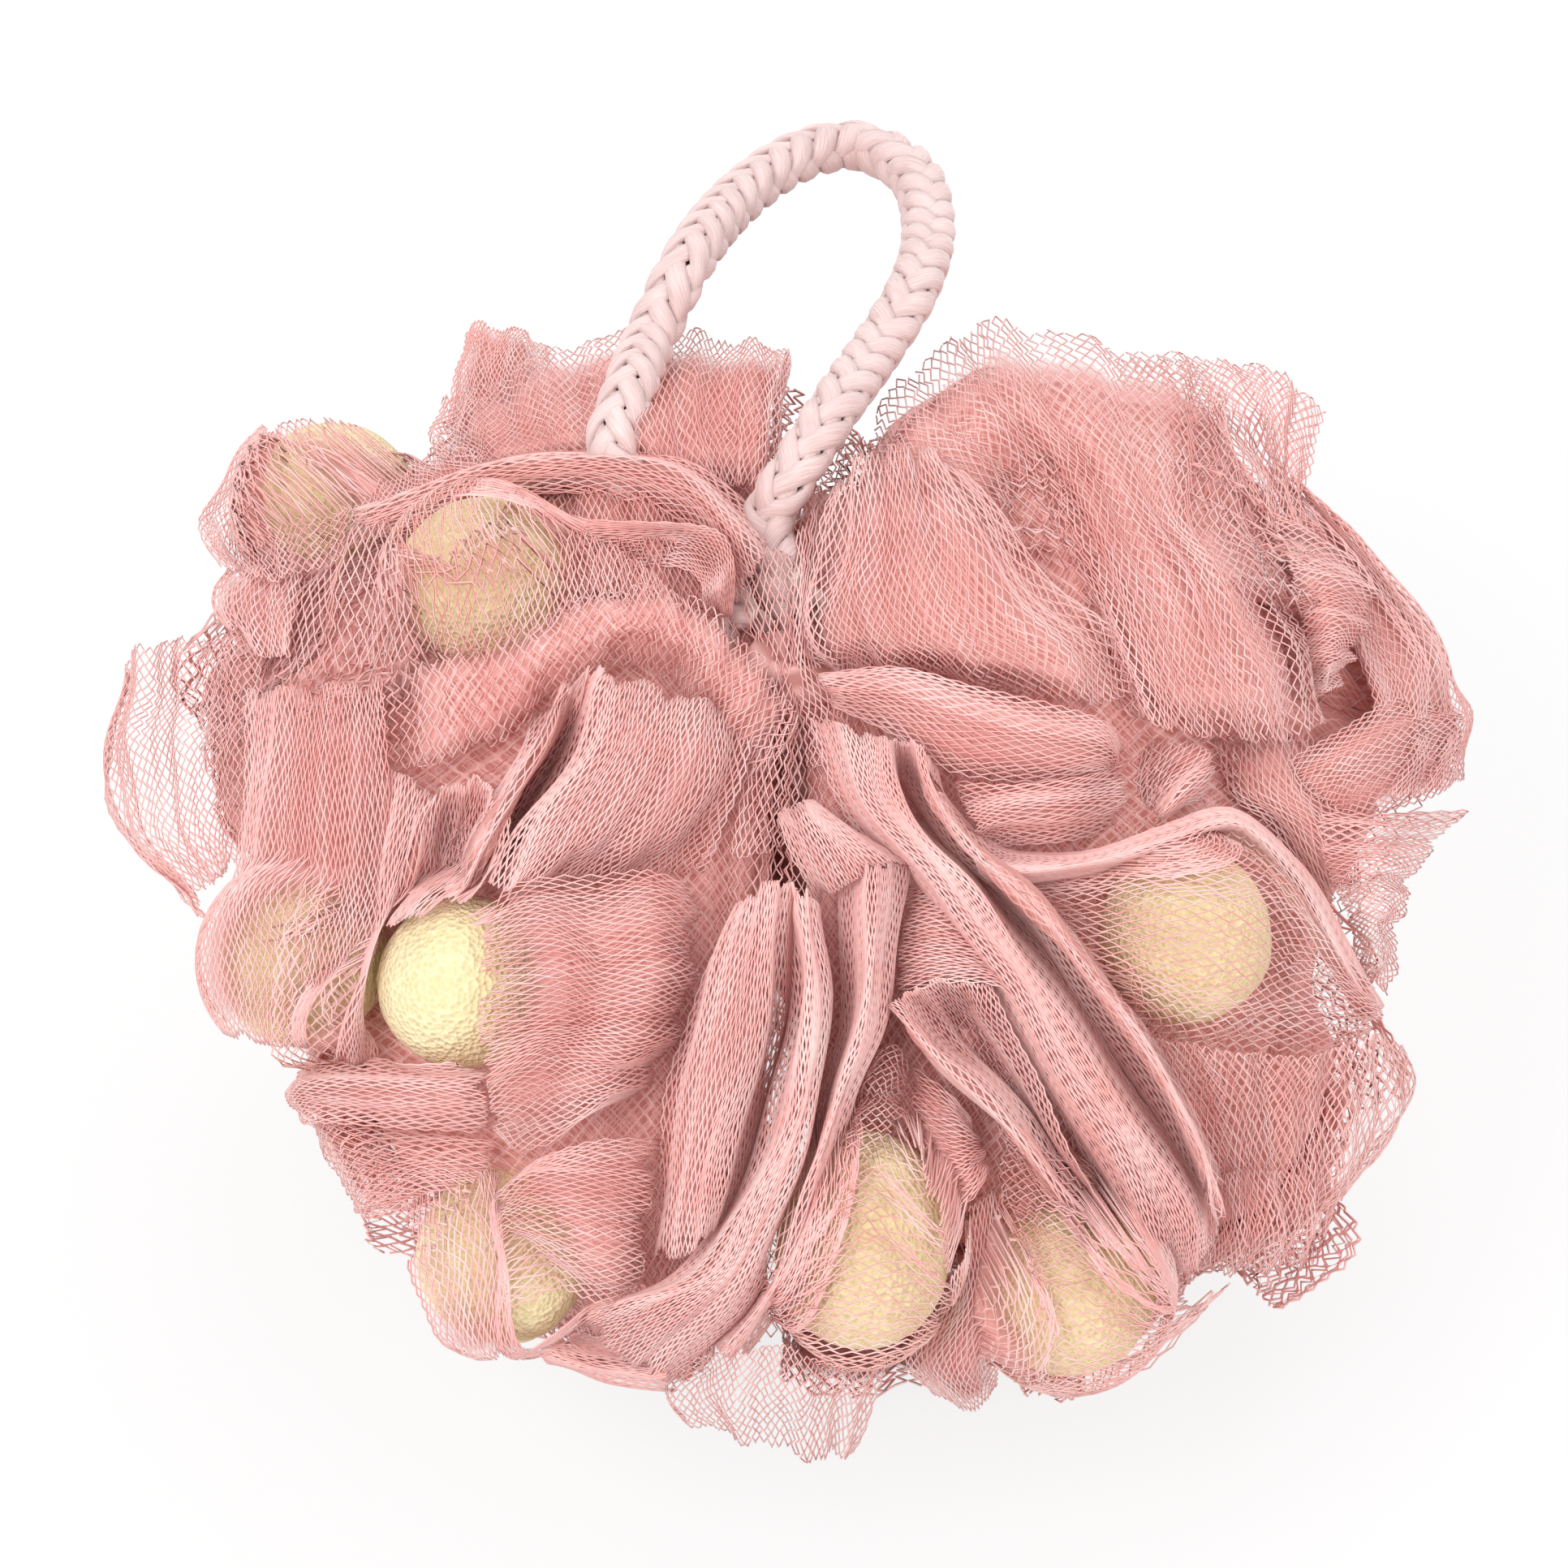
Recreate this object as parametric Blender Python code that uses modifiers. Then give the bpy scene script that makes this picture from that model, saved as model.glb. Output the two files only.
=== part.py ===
"""Mesh bath pouf: two gathered lengths of net, foam balls, a centre tie and a braided hanging loop."""
import math

import bmesh
import bpy
import numpy as np
from mathutils import Matrix, Vector

# Driving sizes, in metres
POUF_WIDTH = 0.170
POUF_DEPTH = 0.160
POUF_HEIGHT = 0.110
OUTLINE_OFFSET_X = -0.00013
OUTLINE_OFFSET_Y = 0.00318
NET_THICKNESS = 0.0012
FOAM_BALL_SIZE = 0.021
FOAM_BLOCK_LENGTH = 0.026
CORD_DIAMETER = 0.0067
END_DRAW = 0.2
TIE_CORD_DIAMETER = 0.0032
TIE_TURNS = 3
NECK_DIAMETER = 0.028
KNOT_DIAMETER = 0.0135
STEM_DIAMETER = 0.0085
CLEARANCE = 0.0003
BED_DEPTH = 0.007
BASE_PRESS = 0.014

# The drawing that the petals are laid out on: the photograph, looking down at the pouf
PHOTO_MIDDLE = (967, 1085)
PHOTO_HALF_WIDTH = 850
PHOTO_HALF_HEIGHT = 707
LOOK_DOWN = math.radians(50)
MM = 0.001

# Where the tie sits: off the middle of the outline, and how far its axis is turned from the X axis
TIE_OFFSET_X = 0.0018
TIE_TURN = math.radians(11)
# How far each petal's root runs towards the middle of its half, and how tightly it is gathered there
LOBE_MIDDLE = 0.030
ROOT_REACH = 0.40
ROOT_GATHER = 0.55
ROOT_LAP = 0.15
PLEATS = 13
PLEAT_DEPTH = 0.06
GAP_SHARE = 0.24
SHOULDER_PLACE, SHOULDER_SWELL = 0.25, 0.72
RING_PLACES = (0.50, 0.72, 0.88, 0.965)
ROUTE_STEP = 1.6 * CORD_DIAMETER
FLAT_ANGLE = math.radians(6)
BALL_SEGMENTS = 10
BALL_RINGS = 7
TIE_STEPS = 24
KNOT_STEPS = 14
BEVEL_STEPS = 2
WELD = 0.00002

COLLECTION = "mesh_bath_pouf"

# Petals of the net: rows of (pixel across, pixel down, height over the outline in mm)
LEFT_PETALS = {
    "crest_lobe": [
        [(545, 490, -9), (532, 525, -9), (540, 560, -9), (565, 592, -10)],
        [(592, 470, -3), (600, 515, 0), (604, 545, 0), (612, 580, -4)],
        [(680, 427, -3), (690, 470, 3), (700, 520, 3), (720, 575, -4)],
        [(800, 410, -3), (800, 450, 3), (808, 520, 3), (820, 595, -6)],
        [(890, 412, -3), (885, 460, 0), (880, 525, -3), (890, 600, -9)],
        [(955, 424, -3), (955, 470, 2), (950, 535, 1), (932, 610, -8)],
        [(972, 445, -11), (963, 492, -10), (957, 545, -11), (945, 615, -14)]],
    "back_tuft": [
        [(568, 402, -9), (590, 388, -7), (618, 397, -5), (645, 398, -7), (668, 422, -10)],
        [(556, 450, -9), (580, 450, -5), (605, 462, -9), (640, 450, -6), (684, 455, -11)],
        [(545, 525, -12), (572, 530, -9), (612, 520, -12), (652, 510, -10), (702, 500, -14)]],
    "collar": [
        [(440, 620, -9), (560, 578, -8), (660, 560, -7), (760, 556, -6), (840, 573, -6), (905, 612, -8),
         (955, 655, -12)],
        [(440, 640, -1), (560, 594, 2), (660, 574, 3), (760, 569, 4), (842, 592, 4), (895, 640, 2),
         (935, 700, -3)],
        [(480, 665, -5), (590, 625, -4), (690, 612, -4), (780, 620, -5), (850, 652, -6), (885, 705, -9),
         (905, 760, -12)]],
    "curl_high": [
        [(640, 600, -4), (640, 668, -1), (650, 702, -7)],
        [(750, 606, -5), (750, 668, -3), (750, 700, -7)],
        [(850, 640, -5.5), (835, 668, -3), (840, 705, -5)],
        [(892, 662, 2), (872, 690, -3), (865, 722, -4)],
        [(906, 700, 0), (888, 720, 1), (870, 740, -5)],
        [(902, 762, -8), (888, 764, -7), (872, 766, -10)]],
    "sponge_cover": [
        [(395, 695, -8), (465, 644, -3), (560, 622, 1), (645, 628, 1), (725, 658, 0), (800, 704, -2),
         (850, 748, -4)],
        [(360, 765, -3), (460, 732, 1), (560, 722, 5), (655, 722, 4), (735, 735, 0), (805, 755, -3),
         (850, 775, -6)],
        [(330, 845, -8), (450, 832, -3), (560, 812, 0), (655, 795, 0), (735, 790, -3), (805, 795, -7),
         (850, 805, -10)]],
    "wide_sheet": [
        [(470, 835, -1), (560, 802, 1), (640, 770, 1), (725, 740, 1), (800, 728, 1), (862, 742, 1),
         (920, 790, -1), (962, 842, -4), (986, 905, -10)],
        [(480, 890, 0), (560, 870, 2), (640, 838, 1), (722, 790, 2), (800, 778, 3), (855, 800, 3),
         (895, 845, 0), (925, 890, -4), (945, 945, -9)],
        [(490, 950, -3), (560, 940, -2), (640, 905, -5), (715, 850, -5), (790, 830, -6), (840, 850, -6),
         (870, 890, -8), (890, 940, -11), (905, 990, -14)]],
    "curtain": [
        [(318, 852, 0), (362, 850, 1), (420, 843, 1), (480, 832, 0)],
        [(308, 960, 0), (355, 962, 3), (420, 958, 2), (490, 945, -1)],
        [(300, 1075, -1), (350, 1080, 3), (420, 1080, 3), (490, 1070, -1)],
        [(282, 1180, -2), (340, 1180, 6), (410, 1180, 6), (476, 1155, 0)],
        [(306, 1256, -6), (350, 1272, 0), (400, 1285, -1), (450, 1270, -7)]],
    "fringe_left": [
        [(330, 762, -8), (330, 830, -3), (330, 900, -2), (320, 980, -3), (310, 1050, -6)],
        [(245, 786, -6), (240, 850, 0), (235, 920, 1), (240, 1000, 0), (282, 1080, -2)],
        [(165, 798, -10), (158, 875, -2), (155, 945, 0), (190, 1035, 0), (250, 1102, -2)],
        [(150, 830, -14), (135, 915, -8), (122, 985, -4), (207, 1078, -2), (274, 1136, -3)]],
    "fringe_high": [
        [(318, 520, -6), (333, 532, -3), (348, 546, -3), (362, 560, -6)],
        [(272, 575, -6), (300, 592, 0), (340, 600, 0), (395, 590, -6)],
        [(240, 640, -6), (285, 655, 0), (345, 655, 1), (430, 625, -3)],
        [(272, 700, -8), (315, 715, -2), (360, 715, -1), (430, 690, -4)]],
    "trumpet": [
        [(655, 905, -12), (700, 846, -2), (738, 822, 2), (766, 838, 2), (850, 858, 1), (932, 882, -7)],
        [(630, 962, -10), (668, 918, 3), (704, 912, -7), (736, 922, 5), (822, 940, 3), (916, 962, -7)],
        [(590, 1042, -8), (620, 1008, 3), (650, 1000, -8), (680, 1010, 5), (770, 1030, 2),
         (890, 1032, -9)],
        [(550, 1122, -8), (576, 1098, 0), (600, 1078, -6), (632, 1092, 3), (722, 1082, -3),
         (862, 1072, -11)]],
    "arch": [
        [(485, 1060, -6), (528, 992, 1), (572, 962, 3), (612, 964, 3), (642, 990, 0)],
        [(472, 1110, -6), (520, 1052, 2), (562, 1022, -6), (600, 1022, -5), (628, 1032, 3)],
        [(470, 1150, -9), (510, 1112, -3), (548, 1088, -7), (578, 1080, -4), (590, 1110, 1)]],
    "pouch": [
        [(600, 1116, 0), (650, 1083, 3), (730, 1074, 4), (800, 1064, 3), (852, 1086, -4)],
        [(608, 1170, 3), (692, 1148, 3), (738, 1160, 7), (810, 1150, 5), (860, 1160, -4)],
        [(600, 1262, 1), (695, 1240, 1), (742, 1240, 7), (802, 1240, 5), (852, 1240, -5)],
        [(611, 1330, 1), (672, 1300, 0), (722, 1300, 5), (772, 1310, 3), (822, 1302, -6)],
        [(618, 1392, -4), (650, 1408, -1), (692, 1396, 1), (732, 1370, 0), (782, 1342, -7)]],
    "roll_low": [
        [(610, 1290, -8), (610, 1335, 0), (610, 1390, -6)],
        [(490, 1298, -7), (490, 1332, 2), (500, 1380, -3)],
        [(400, 1300, -10), (385, 1335, 0), (402, 1376, -4)],
        [(374, 1318, -16), (366, 1350, -11), (386, 1378, -12)]],
    "ruffle_low": [
        [(625, 1396, -8), (605, 1440, -3), (582, 1484, -6)],
        [(525, 1388, -7), (522, 1430, 0), (532, 1480, -4)],
        [(456, 1404, -10), (455, 1450, -4), (472, 1492, -6)],
        [(446, 1425, -16), (438, 1468, -11), (455, 1492, -13)]],
    "cushion": [
        [(818, 1392, -5), (810, 1450, -1), (802, 1520, -1), (792, 1600, -5)],
        [(740, 1392, 2), (735, 1442, 6), (735, 1510, 5), (746, 1592, 0)],
        [(680, 1412, 2), (665, 1446, 6), (670, 1500, 5), (702, 1572, 0)],
        [(636, 1442, -5), (620, 1464, 0), (628, 1500, 0), (668, 1547, -4)]],
    "swag": [
        [(905, 1128, -5), (930, 1096, 1), (960, 1082, 3), (984, 1092, 1)],
        [(860, 1210, -5), (900, 1200, 3), (948, 1190, 4), (974, 1200, -4)],
        [(830, 1310, -7), (880, 1320, 3), (928, 1310, 3), (958, 1320, -8)],
        [(815, 1415, -7), (858, 1430, 2), (898, 1422, 1), (926, 1430, -8)],
        [(800, 1540, -9), (850, 1532, 0), (880, 1502, 0), (904, 1500, -6)]],
    "sash": [
        [(958, 1104, -7), (975, 1084, 1), (1001, 1098, 3), (1016, 1150, -6)],
        [(970, 1230, -8), (990, 1220, 3), (1009, 1220, 5), (1028, 1232, -6)],
        [(950, 1340, -8), (974, 1340, 3), (999, 1340, 6), (1012, 1352, -5)],
        [(905, 1462, -8), (930, 1452, 3), (961, 1450, 6), (990, 1452, -4)],
        [(840, 1548, -8), (880, 1541, 2), (916, 1550, 5), (952, 1562, -3)],
        [(745, 1592, -8), (800, 1586, 1), (850, 1612, 4), (890, 1642, -3)],
        [(672, 1610, -7), (722, 1622, -4), (790, 1672, 2), (832, 1692, -6)]],
    "apron": [
        [(960, 1002, -6), (986, 984, 0), (1012, 990, -4)],
        [(975, 1060, -4), (1020, 1030, 3), (1062, 1030, -1)],
        [(1012, 1112, -6), (1052, 1082, 3), (1116, 1060, 0)]],
    "stole": [
        [(1032, 1072, -4), (1075, 1066, 4), (1104, 1082, -4)],
        [(1040, 1160, -5), (1075, 1160, 6), (1108, 1152, -4)],
        [(1034, 1260, -5), (1063, 1260, 6), (1090, 1250, -4)],
        [(1010, 1352, -5), (1033, 1346, 5), (1056, 1340, -4)],
        [(975, 1452, -5), (998, 1450, 5), (1020, 1442, -4)],
        [(944, 1552, -5), (963, 1556, 4), (985, 1552, -5)],
        [(875, 1640, -6), (897, 1652, 2), (922, 1652, -6)]],
    "sponge_drop": [
        [(1068, 1286, -6), (1084, 1275, -4), (1100, 1280, -4), (1116, 1296, -7)],
        [(1034, 1372, -4), (1060, 1370, 0), (1090, 1370, 0), (1126, 1372, -5)],
        [(990, 1472, -3), (1040, 1470, 6), (1090, 1470, 6), (1148, 1482, -4)],
        [(958, 1560, -5), (1030, 1570, 7), (1100, 1570, 6), (1155, 1560, -5)],
        [(975, 1622, -9), (1030, 1648, 0), (1090, 1642, 0), (1130, 1622, -7)]],
    "foot": [
        [(835, 1662, -4), (822, 1692, -5), (842, 1735, -8)],
        [(920, 1645, 2), (910, 1702, 4), (912, 1764, -1)],
        [(1010, 1645, 2), (1010, 1705, 4), (1004, 1785, -1)],
        [(1100, 1640, -4), (1086, 1700, -3), (1050, 1775, -6)]],
    "corner_low": [
        [(520, 1490, -10), (600, 1432, -3), (650, 1440, -5)],
        [(532, 1560, -10), (620, 1540, 3), (664, 1550, -2)],
        [(590, 1650, -12), (645, 1660, -5), (700, 1660, -8)]],
}
RIGHT_PETALS = {
    "great_lobe": [
        [(1055, 612, -8), (1086, 502, -6), (1165, 427, -4), (1236, 386, -3), (1370, 418, -3),
         (1490, 452, -4), (1510, 520, -6)],
        [(1120, 640, -6), (1150, 560, 1), (1215, 500, 4), (1270, 480, 5), (1390, 500, 5),
         (1495, 530, 2), (1545, 590, -5)],
        [(1200, 690, -14), (1240, 640, -11), (1280, 590, -8), (1330, 580, -3), (1410, 610, 0),
         (1480, 640, 0), (1572, 655, -6)],
        [(1255, 740, -14), (1290, 715, -12), (1330, 690, -5), (1375, 680, 1), (1450, 690, 1),
         (1510, 720, 2), (1588, 730, -6)],
        [(1300, 800, -12), (1340, 790, -8), (1375, 790, -1), (1420, 800, 3), (1490, 810, 4),
         (1550, 810, 3), (1612, 805, -5)],
        [(1355, 870, -12), (1380, 880, -8), (1410, 892, -3), (1455, 908, 0), (1520, 912, 1),
         (1575, 915, 0), (1632, 890, -4)]],
    "lobe_behind": [
        [(1380, 432, -10), (1450, 432, -8), (1520, 436, -7), (1590, 458, -7), (1640, 505, -9)],
        [(1400, 500, -8), (1470, 492, -5), (1540, 490, -3), (1590, 515, -3), (1625, 560, -8)],
        [(1480, 600, -12), (1530, 570, -8), (1565, 570, -4), (1590, 590, -4), (1606, 620, -8)],
        [(1520, 680, -14), (1560, 660, -9), (1580, 650, -5), (1610, 650, -4), (1640, 660, -8)]],
    "tongue": [
        [(1034, 600, -6), (1062, 567, 0), (1108, 554, 3), (1146, 556, 3), (1168, 578, -3)],
        [(1008, 680, -5), (1060, 662, 2), (1120, 652, 5), (1190, 650, 4), (1238, 650, -3)],
        [(988, 752, -5), (1050, 742, 2), (1130, 740, 5), (1240, 740, 5), (1302, 735, -3)],
        [(1000, 810, -8), (1060, 800, 1), (1160, 808, 3), (1290, 810, 4), (1377, 795, -3)],
        [(1026, 836, -11), (1080, 832, -5), (1180, 842, -5), (1325, 872, 0), (1412, 844, -3)]],
    "shelf": [
        [(1008, 834, -6), (1012, 850, -2), (1026, 872, -6)],
        [(1100, 822, 1), (1096, 860, 5), (1104, 908, -1)],
        [(1200, 850, 2), (1188, 892, 6), (1168, 952, -1)],
        [(1290, 869, 2), (1280, 912, 6), (1262, 964, -1)],
        [(1352, 892, 0), (1358, 922, 3), (1346, 950, -1)],
        [(1378, 922, -8), (1377, 942, -8), (1370, 962, -10)]],
    "shelf_under": [
        [(1382, 938, -7), (1382, 978, -3), (1366, 1028, -9)],
        [(1322, 958, 1), (1312, 992, 4), (1302, 1036, -3)],
        [(1240, 968, 2), (1230, 1002, 4), (1242, 1042, -4)],
        [(1172, 962, -2), (1190, 1010, 2), (1212, 1046, -4)]],
    "rail": [
        [(1207, 1030, -3), (1195, 1056, 2), (1207, 1082, -1)],
        [(1252, 1049, -3), (1246, 1068, 3), (1242, 1086, -2)],
        [(1330, 1047, -1), (1330, 1061, 4), (1330, 1077, -2)],
        [(1422, 1018, -1), (1426, 1036, 4), (1430, 1053, -2)],
        [(1512, 996, -1), (1514, 1012, 4), (1508, 1034, -3)],
        [(1592, 1062, -2), (1584, 1076, 3), (1564, 1092, -3)],
        [(1646, 1150, -3), (1636, 1162, 3), (1616, 1172, -3)],
        [(1698, 1236, -8), (1686, 1246, -4), (1668, 1252, -8)]],
    "sponge_veil": [
        [(1232, 1072, -8), (1216, 1092, -7), (1226, 1122, -8), (1262, 1172, -9)],
        [(1330, 1058, -3), (1330, 1102, 0), (1322, 1162, -2), (1332, 1224, -8)],
        [(1430, 1032, 1), (1440, 1102, 7), (1432, 1182, 6), (1420, 1272, -4)],
        [(1530, 1030, 1), (1542, 1112, 7), (1532, 1202, 5), (1520, 1287, -5)],
        [(1602, 1090, 0), (1622, 1162, 3), (1622, 1222, 2), (1612, 1292, -5)],
        [(1652, 1182, -6), (1682, 1222, -4), (1692, 1246, -4), (1682, 1272, -8)]],
    "runner": [
        [(1000, 884, -7), (1040, 894, 0), (1085, 909, 4), (1104, 912, 2)],
        [(1022, 970, -7), (1062, 970, 2), (1097, 975, 5), (1110, 975, -5)],
        [(1072, 1042, -6), (1112, 1040, 3), (1137, 1034, 5), (1152, 1028, -6)],
        [(1132, 1112, -6), (1172, 1110, 3), (1197, 1100, 5), (1212, 1088, -6)],
        [(1190, 1192, -6), (1232, 1190, 3), (1257, 1180, 5), (1277, 1168, -6)],
        [(1252, 1292, -6), (1292, 1290, 3), (1322, 1280, 5), (1342, 1264, -5)],
        [(1320, 1402, -7), (1362, 1400, 3), (1397, 1390, 5), (1412, 1370, -5)],
        [(1368, 1502, -9), (1412, 1502, 1), (1452, 1490, 4), (1476, 1470, -3)],
        [(1398, 1545, -12), (1430, 1556, -4), (1462, 1560, 0), (1488, 1520, -5)]],
    "runner_twin": [
        [(1120, 911, 3), (1140, 930, 3), (1152, 962, -6)],
        [(1128, 966, -1), (1152, 985, 4), (1174, 1002, -6)],
        [(1177, 1032, -1), (1202, 1050, 5), (1228, 1062, -6)],
        [(1252, 1096, -1), (1277, 1120, 5), (1300, 1132, -6)],
        [(1317, 1180, -1), (1342, 1200, 5), (1366, 1217, -6)],
        [(1377, 1266, -1), (1407, 1285, 5), (1428, 1302, -6)],
        [(1442, 1370, -1), (1467, 1400, 5), (1482, 1422, -6)],
        [(1470, 1455, -2), (1492, 1490, 3), (1486, 1522, -6)]],
    "scroll_top": [
        [(1108, 1092, -7), (1104, 1150, -3), (1101, 1216, -2)],
        [(1152, 1088, -4), (1156, 1150, 1), (1156, 1204, 2)],
        [(1202, 1112, -6), (1216, 1162, 0), (1216, 1206, 2)],
        [(1242, 1152, -9), (1252, 1192, -4), (1252, 1232, 0)]],
    "scroll": [
        [(1216, 1206, 1), (1160, 1199, 3), (1120, 1207, 3), (1099, 1228, 1), (1102, 1252, -2)],
        [(1242, 1262, 0), (1192, 1252, -7), (1160, 1262, -6), (1140, 1275, 3), (1134, 1292, -4)],
        [(1272, 1332, 0), (1242, 1332, -7), (1214, 1322, -2), (1201, 1332, 4), (1190, 1347, -5)],
        [(1312, 1402, 0), (1292, 1402, -7), (1272, 1392, -2), (1260, 1402, 4), (1250, 1412, -5)],
        [(1362, 1492, -4), (1347, 1482, -7), (1332, 1482, -2), (1320, 1482, 1), (1308, 1490, -6)]],
    "cut_flap": [
        [(1115, 1300, -7), (1126, 1392, -5), (1150, 1492, -6)],
        [(1160, 1332, -3), (1176, 1402, 0), (1192, 1466, -1)],
        [(1190, 1368, -4), (1206, 1400, -3), (1216, 1428, -3)]],
    "sponge_corner": [
        [(1222, 1332, -6), (1252, 1362, -4), (1302, 1402, -6), (1352, 1442, -9)],
        [(1232, 1452, -3), (1277, 1462, 2), (1332, 1492, 0), (1402, 1522, -7)],
        [(1240, 1562, -3), (1292, 1562, 7), (1362, 1570, 6), (1432, 1572, -4)],
        [(1222, 1642, -7), (1292, 1652, 3), (1372, 1642, 3), (1472, 1602, -2)],
        [(1246, 1682, -11), (1312, 1688, -5), (1402, 1672, -5), (1512, 1572, -7)]],
    "post": [
        [(1150, 1482, -9), (1192, 1472, -5), (1236, 1442, -6)],
        [(1158, 1582, -8), (1196, 1582, -3), (1236, 1572, -5)],
        [(1114, 1656, -7), (1172, 1672, 0), (1230, 1662, -6)],
        [(1148, 1706, -11), (1195, 1728, -5), (1226, 1696, -10)]],
    "skirt": [
        [(1366, 1260, -6), (1430, 1276, -1), (1520, 1289, 0), (1612, 1291, 0), (1682, 1268, 1),
         (1726, 1286, -5)],
        [(1392, 1322, -8), (1452, 1342, -4), (1532, 1350, -2), (1612, 1350, 0), (1692, 1340, 1),
         (1743, 1330, -5)],
        [(1432, 1392, -10), (1482, 1422, -7), (1542, 1432, -4), (1612, 1432, -1), (1672, 1422, -1),
         (1704, 1400, -7)],
        [(1462, 1472, -11), (1512, 1492, -7), (1562, 1492, -4), (1602, 1492, -2), (1632, 1482, -3),
         (1646, 1468, -8)]],
    "skirt_low": [
        [(1470, 1442, -8), (1532, 1432, -3), (1602, 1442, -2), (1650, 1462, -7)],
        [(1482, 1512, -5), (1542, 1502, 1), (1602, 1512, 0), (1632, 1522, -7)],
        [(1470, 1552, -10), (1532, 1563, -4), (1592, 1557, -4), (1612, 1546, -10)]],
    "fan": [
        [(1565, 640, -7), (1590, 722, -5), (1602, 802, -6), (1622, 862, -8)],
        [(1622, 650, -3), (1642, 722, 1), (1642, 792, 1), (1632, 852, -5)],
        [(1690, 700, -9), (1696, 742, -6), (1672, 802, -6), (1642, 842, -9)]],
    "shoulder": [
        [(1555, 560, -15), (1588, 580, -8), (1615, 602, -6), (1640, 640, -9)],
        [(1632, 722, -10), (1680, 702, -4), (1708, 700, -2), (1722, 712, -8)],
        [(1680, 832, -8), (1740, 802, -1), (1778, 812, 0), (1796, 832, -8)],
        [(1680, 922, -7), (1740, 902, -1), (1788, 902, 0), (1815, 890, -8)],
        [(1640, 992, -8), (1710, 982, -1), (1768, 972, 0), (1802, 960, -8)]],
    "fringe_right": [
        [(1602, 1002, -8), (1622, 1062, -4), (1652, 1132, -5), (1672, 1222, -9)],
        [(1702, 1000, -3), (1692, 1052, 1), (1692, 1122, 0), (1692, 1202, -5)],
        [(1806, 1000, -8), (1748, 1062, -6), (1724, 1132, -6), (1705, 1224, -9)]],
}

# See-through petals, whose net shows as diamond gaps
OPEN_PETALS = ("fringe_left", "foot", "lobe_behind", "skirt")
# Petals whose edges stay clear of the gathered bulk and need a root of their own
ROOTED_PETALS = ("great_lobe", "shoulder", "crest_lobe", "cut_flap", "under_sponge_veil", "under_sponge_corner")
# Petals repeated on the hidden underside, turned through the pouf's middle
UNDER_PETALS = ("trumpet", "cushion", "sponge_veil", "sponge_corner", "arch", "pouch", "apron", "great_lobe",
                "tongue", "wide_sheet", "stole", "sash", "collar")

# The drawing's outline, which the bulk and the hidden side stay behind
OUTLINE = [(1815, 890), (1800, 1000), (1725, 1130), (1705, 1240), (1740, 1320), (1695, 1450), (1632, 1540),
           (1500, 1590), (1410, 1672), (1310, 1690), (1195, 1728), (1050, 1778), (905, 1762), (830, 1700),
           (670, 1650), (600, 1620), (555, 1500), (445, 1480), (372, 1360), (385, 1290), (300, 1240), (278, 1160),
           (200, 1060), (130, 980), (160, 800), (245, 700), (300, 540), (440, 590), (530, 530), (570, 400),
           (800, 408), (970, 425), (1080, 480), (1237, 388), (1400, 420), (1630, 490), (1640, 600), (1760, 760)]
OUTLINE_SHARE = 0.96

# Foam balls: where each middle shows, and its height over the outline in mm
FOAM_BALLS = [(385, 1180, -5.5), (580, 1205, -9.0), (602, 722, -7.5), (412, 625, -16.0), (1452, 1150, -5.0),
              (1312, 1575, -5.0), (628, 1535, -9.5)]
FOAM_BLOCK = (1062, 1515, -5.0)
UNDER_BALLS = [(385, 1180, -5.5), (1452, 1150, -5.0), (1312, 1575, -5.0), (600, 1240, -7.5)]

# The loop's route from the knot, up over the left half, round and back into the valley
LOOP_ROUTE = [(930, 790, -13.5), (860, 705, -13.5), (795, 635, -9.5), (757, 562, -1.0),
              (778, 485, 5.5), (803, 418, 9.0), (850, 320, 25.0), (905, 245, 12.0), (980, 187, 2.0),
              (1060, 170, -3.0), (1128, 208, 3.0), (1146, 280, 13.0), (1128, 352, 25.0),
              (1082, 430, 9.0), (1030, 505, 5.5), (980, 585, -2.0), (948, 645, -9.5), (966, 720, -12.5),
              (990, 790, -13.0)]
KNOT_PLACE = (984, 836, -14.0)


def conjugate(width, depth, height):
    """Half axes of the outline as the drawing sees it: across, up and towards the eye."""
    half = (width / 2, depth / 2, height / 2)
    rise, run = math.sin(LOOK_DOWN), math.cos(LOOK_DOWN)
    tall = math.hypot(half[1] * rise, half[2] * run)
    near = 1 / math.hypot(run / half[1], rise / half[2])
    return (Vector((half[0], 0, 0)),
            Vector((0, half[1] ** 2 * rise, half[2] ** 2 * run)) / tall,
            Vector((0, -run, rise)) * near)


ACROSS, UP, NEAR = conjugate(POUF_WIDTH, POUF_DEPTH, POUF_HEIGHT)
MIDDLE = Vector((OUTLINE_OFFSET_X, OUTLINE_OFFSET_Y, POUF_HEIGHT / 2))
PICTURE_UP = Vector((0, math.sin(LOOK_DOWN), math.cos(LOOK_DOWN)))
outline_spots = sorted((math.atan2(PHOTO_MIDDLE[1] - down, across - PHOTO_MIDDLE[0]),
                        math.hypot(across - PHOTO_MIDDLE[0], down - PHOTO_MIDDLE[1]) * POUF_WIDTH / 2
                        / PHOTO_HALF_WIDTH) for across, down in OUTLINE)
OUTLINE_WAY, OUTLINE_REACH = zip(*outline_spots)
TIE_PLACE = MIDDLE + Vector((TIE_OFFSET_X, 0, 0))
TIE_AXIS = Vector((math.cos(TIE_TURN), math.sin(TIE_TURN), 0))
TIE_SIDE = Vector((-math.sin(TIE_TURN), math.cos(TIE_TURN), 0))


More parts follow.
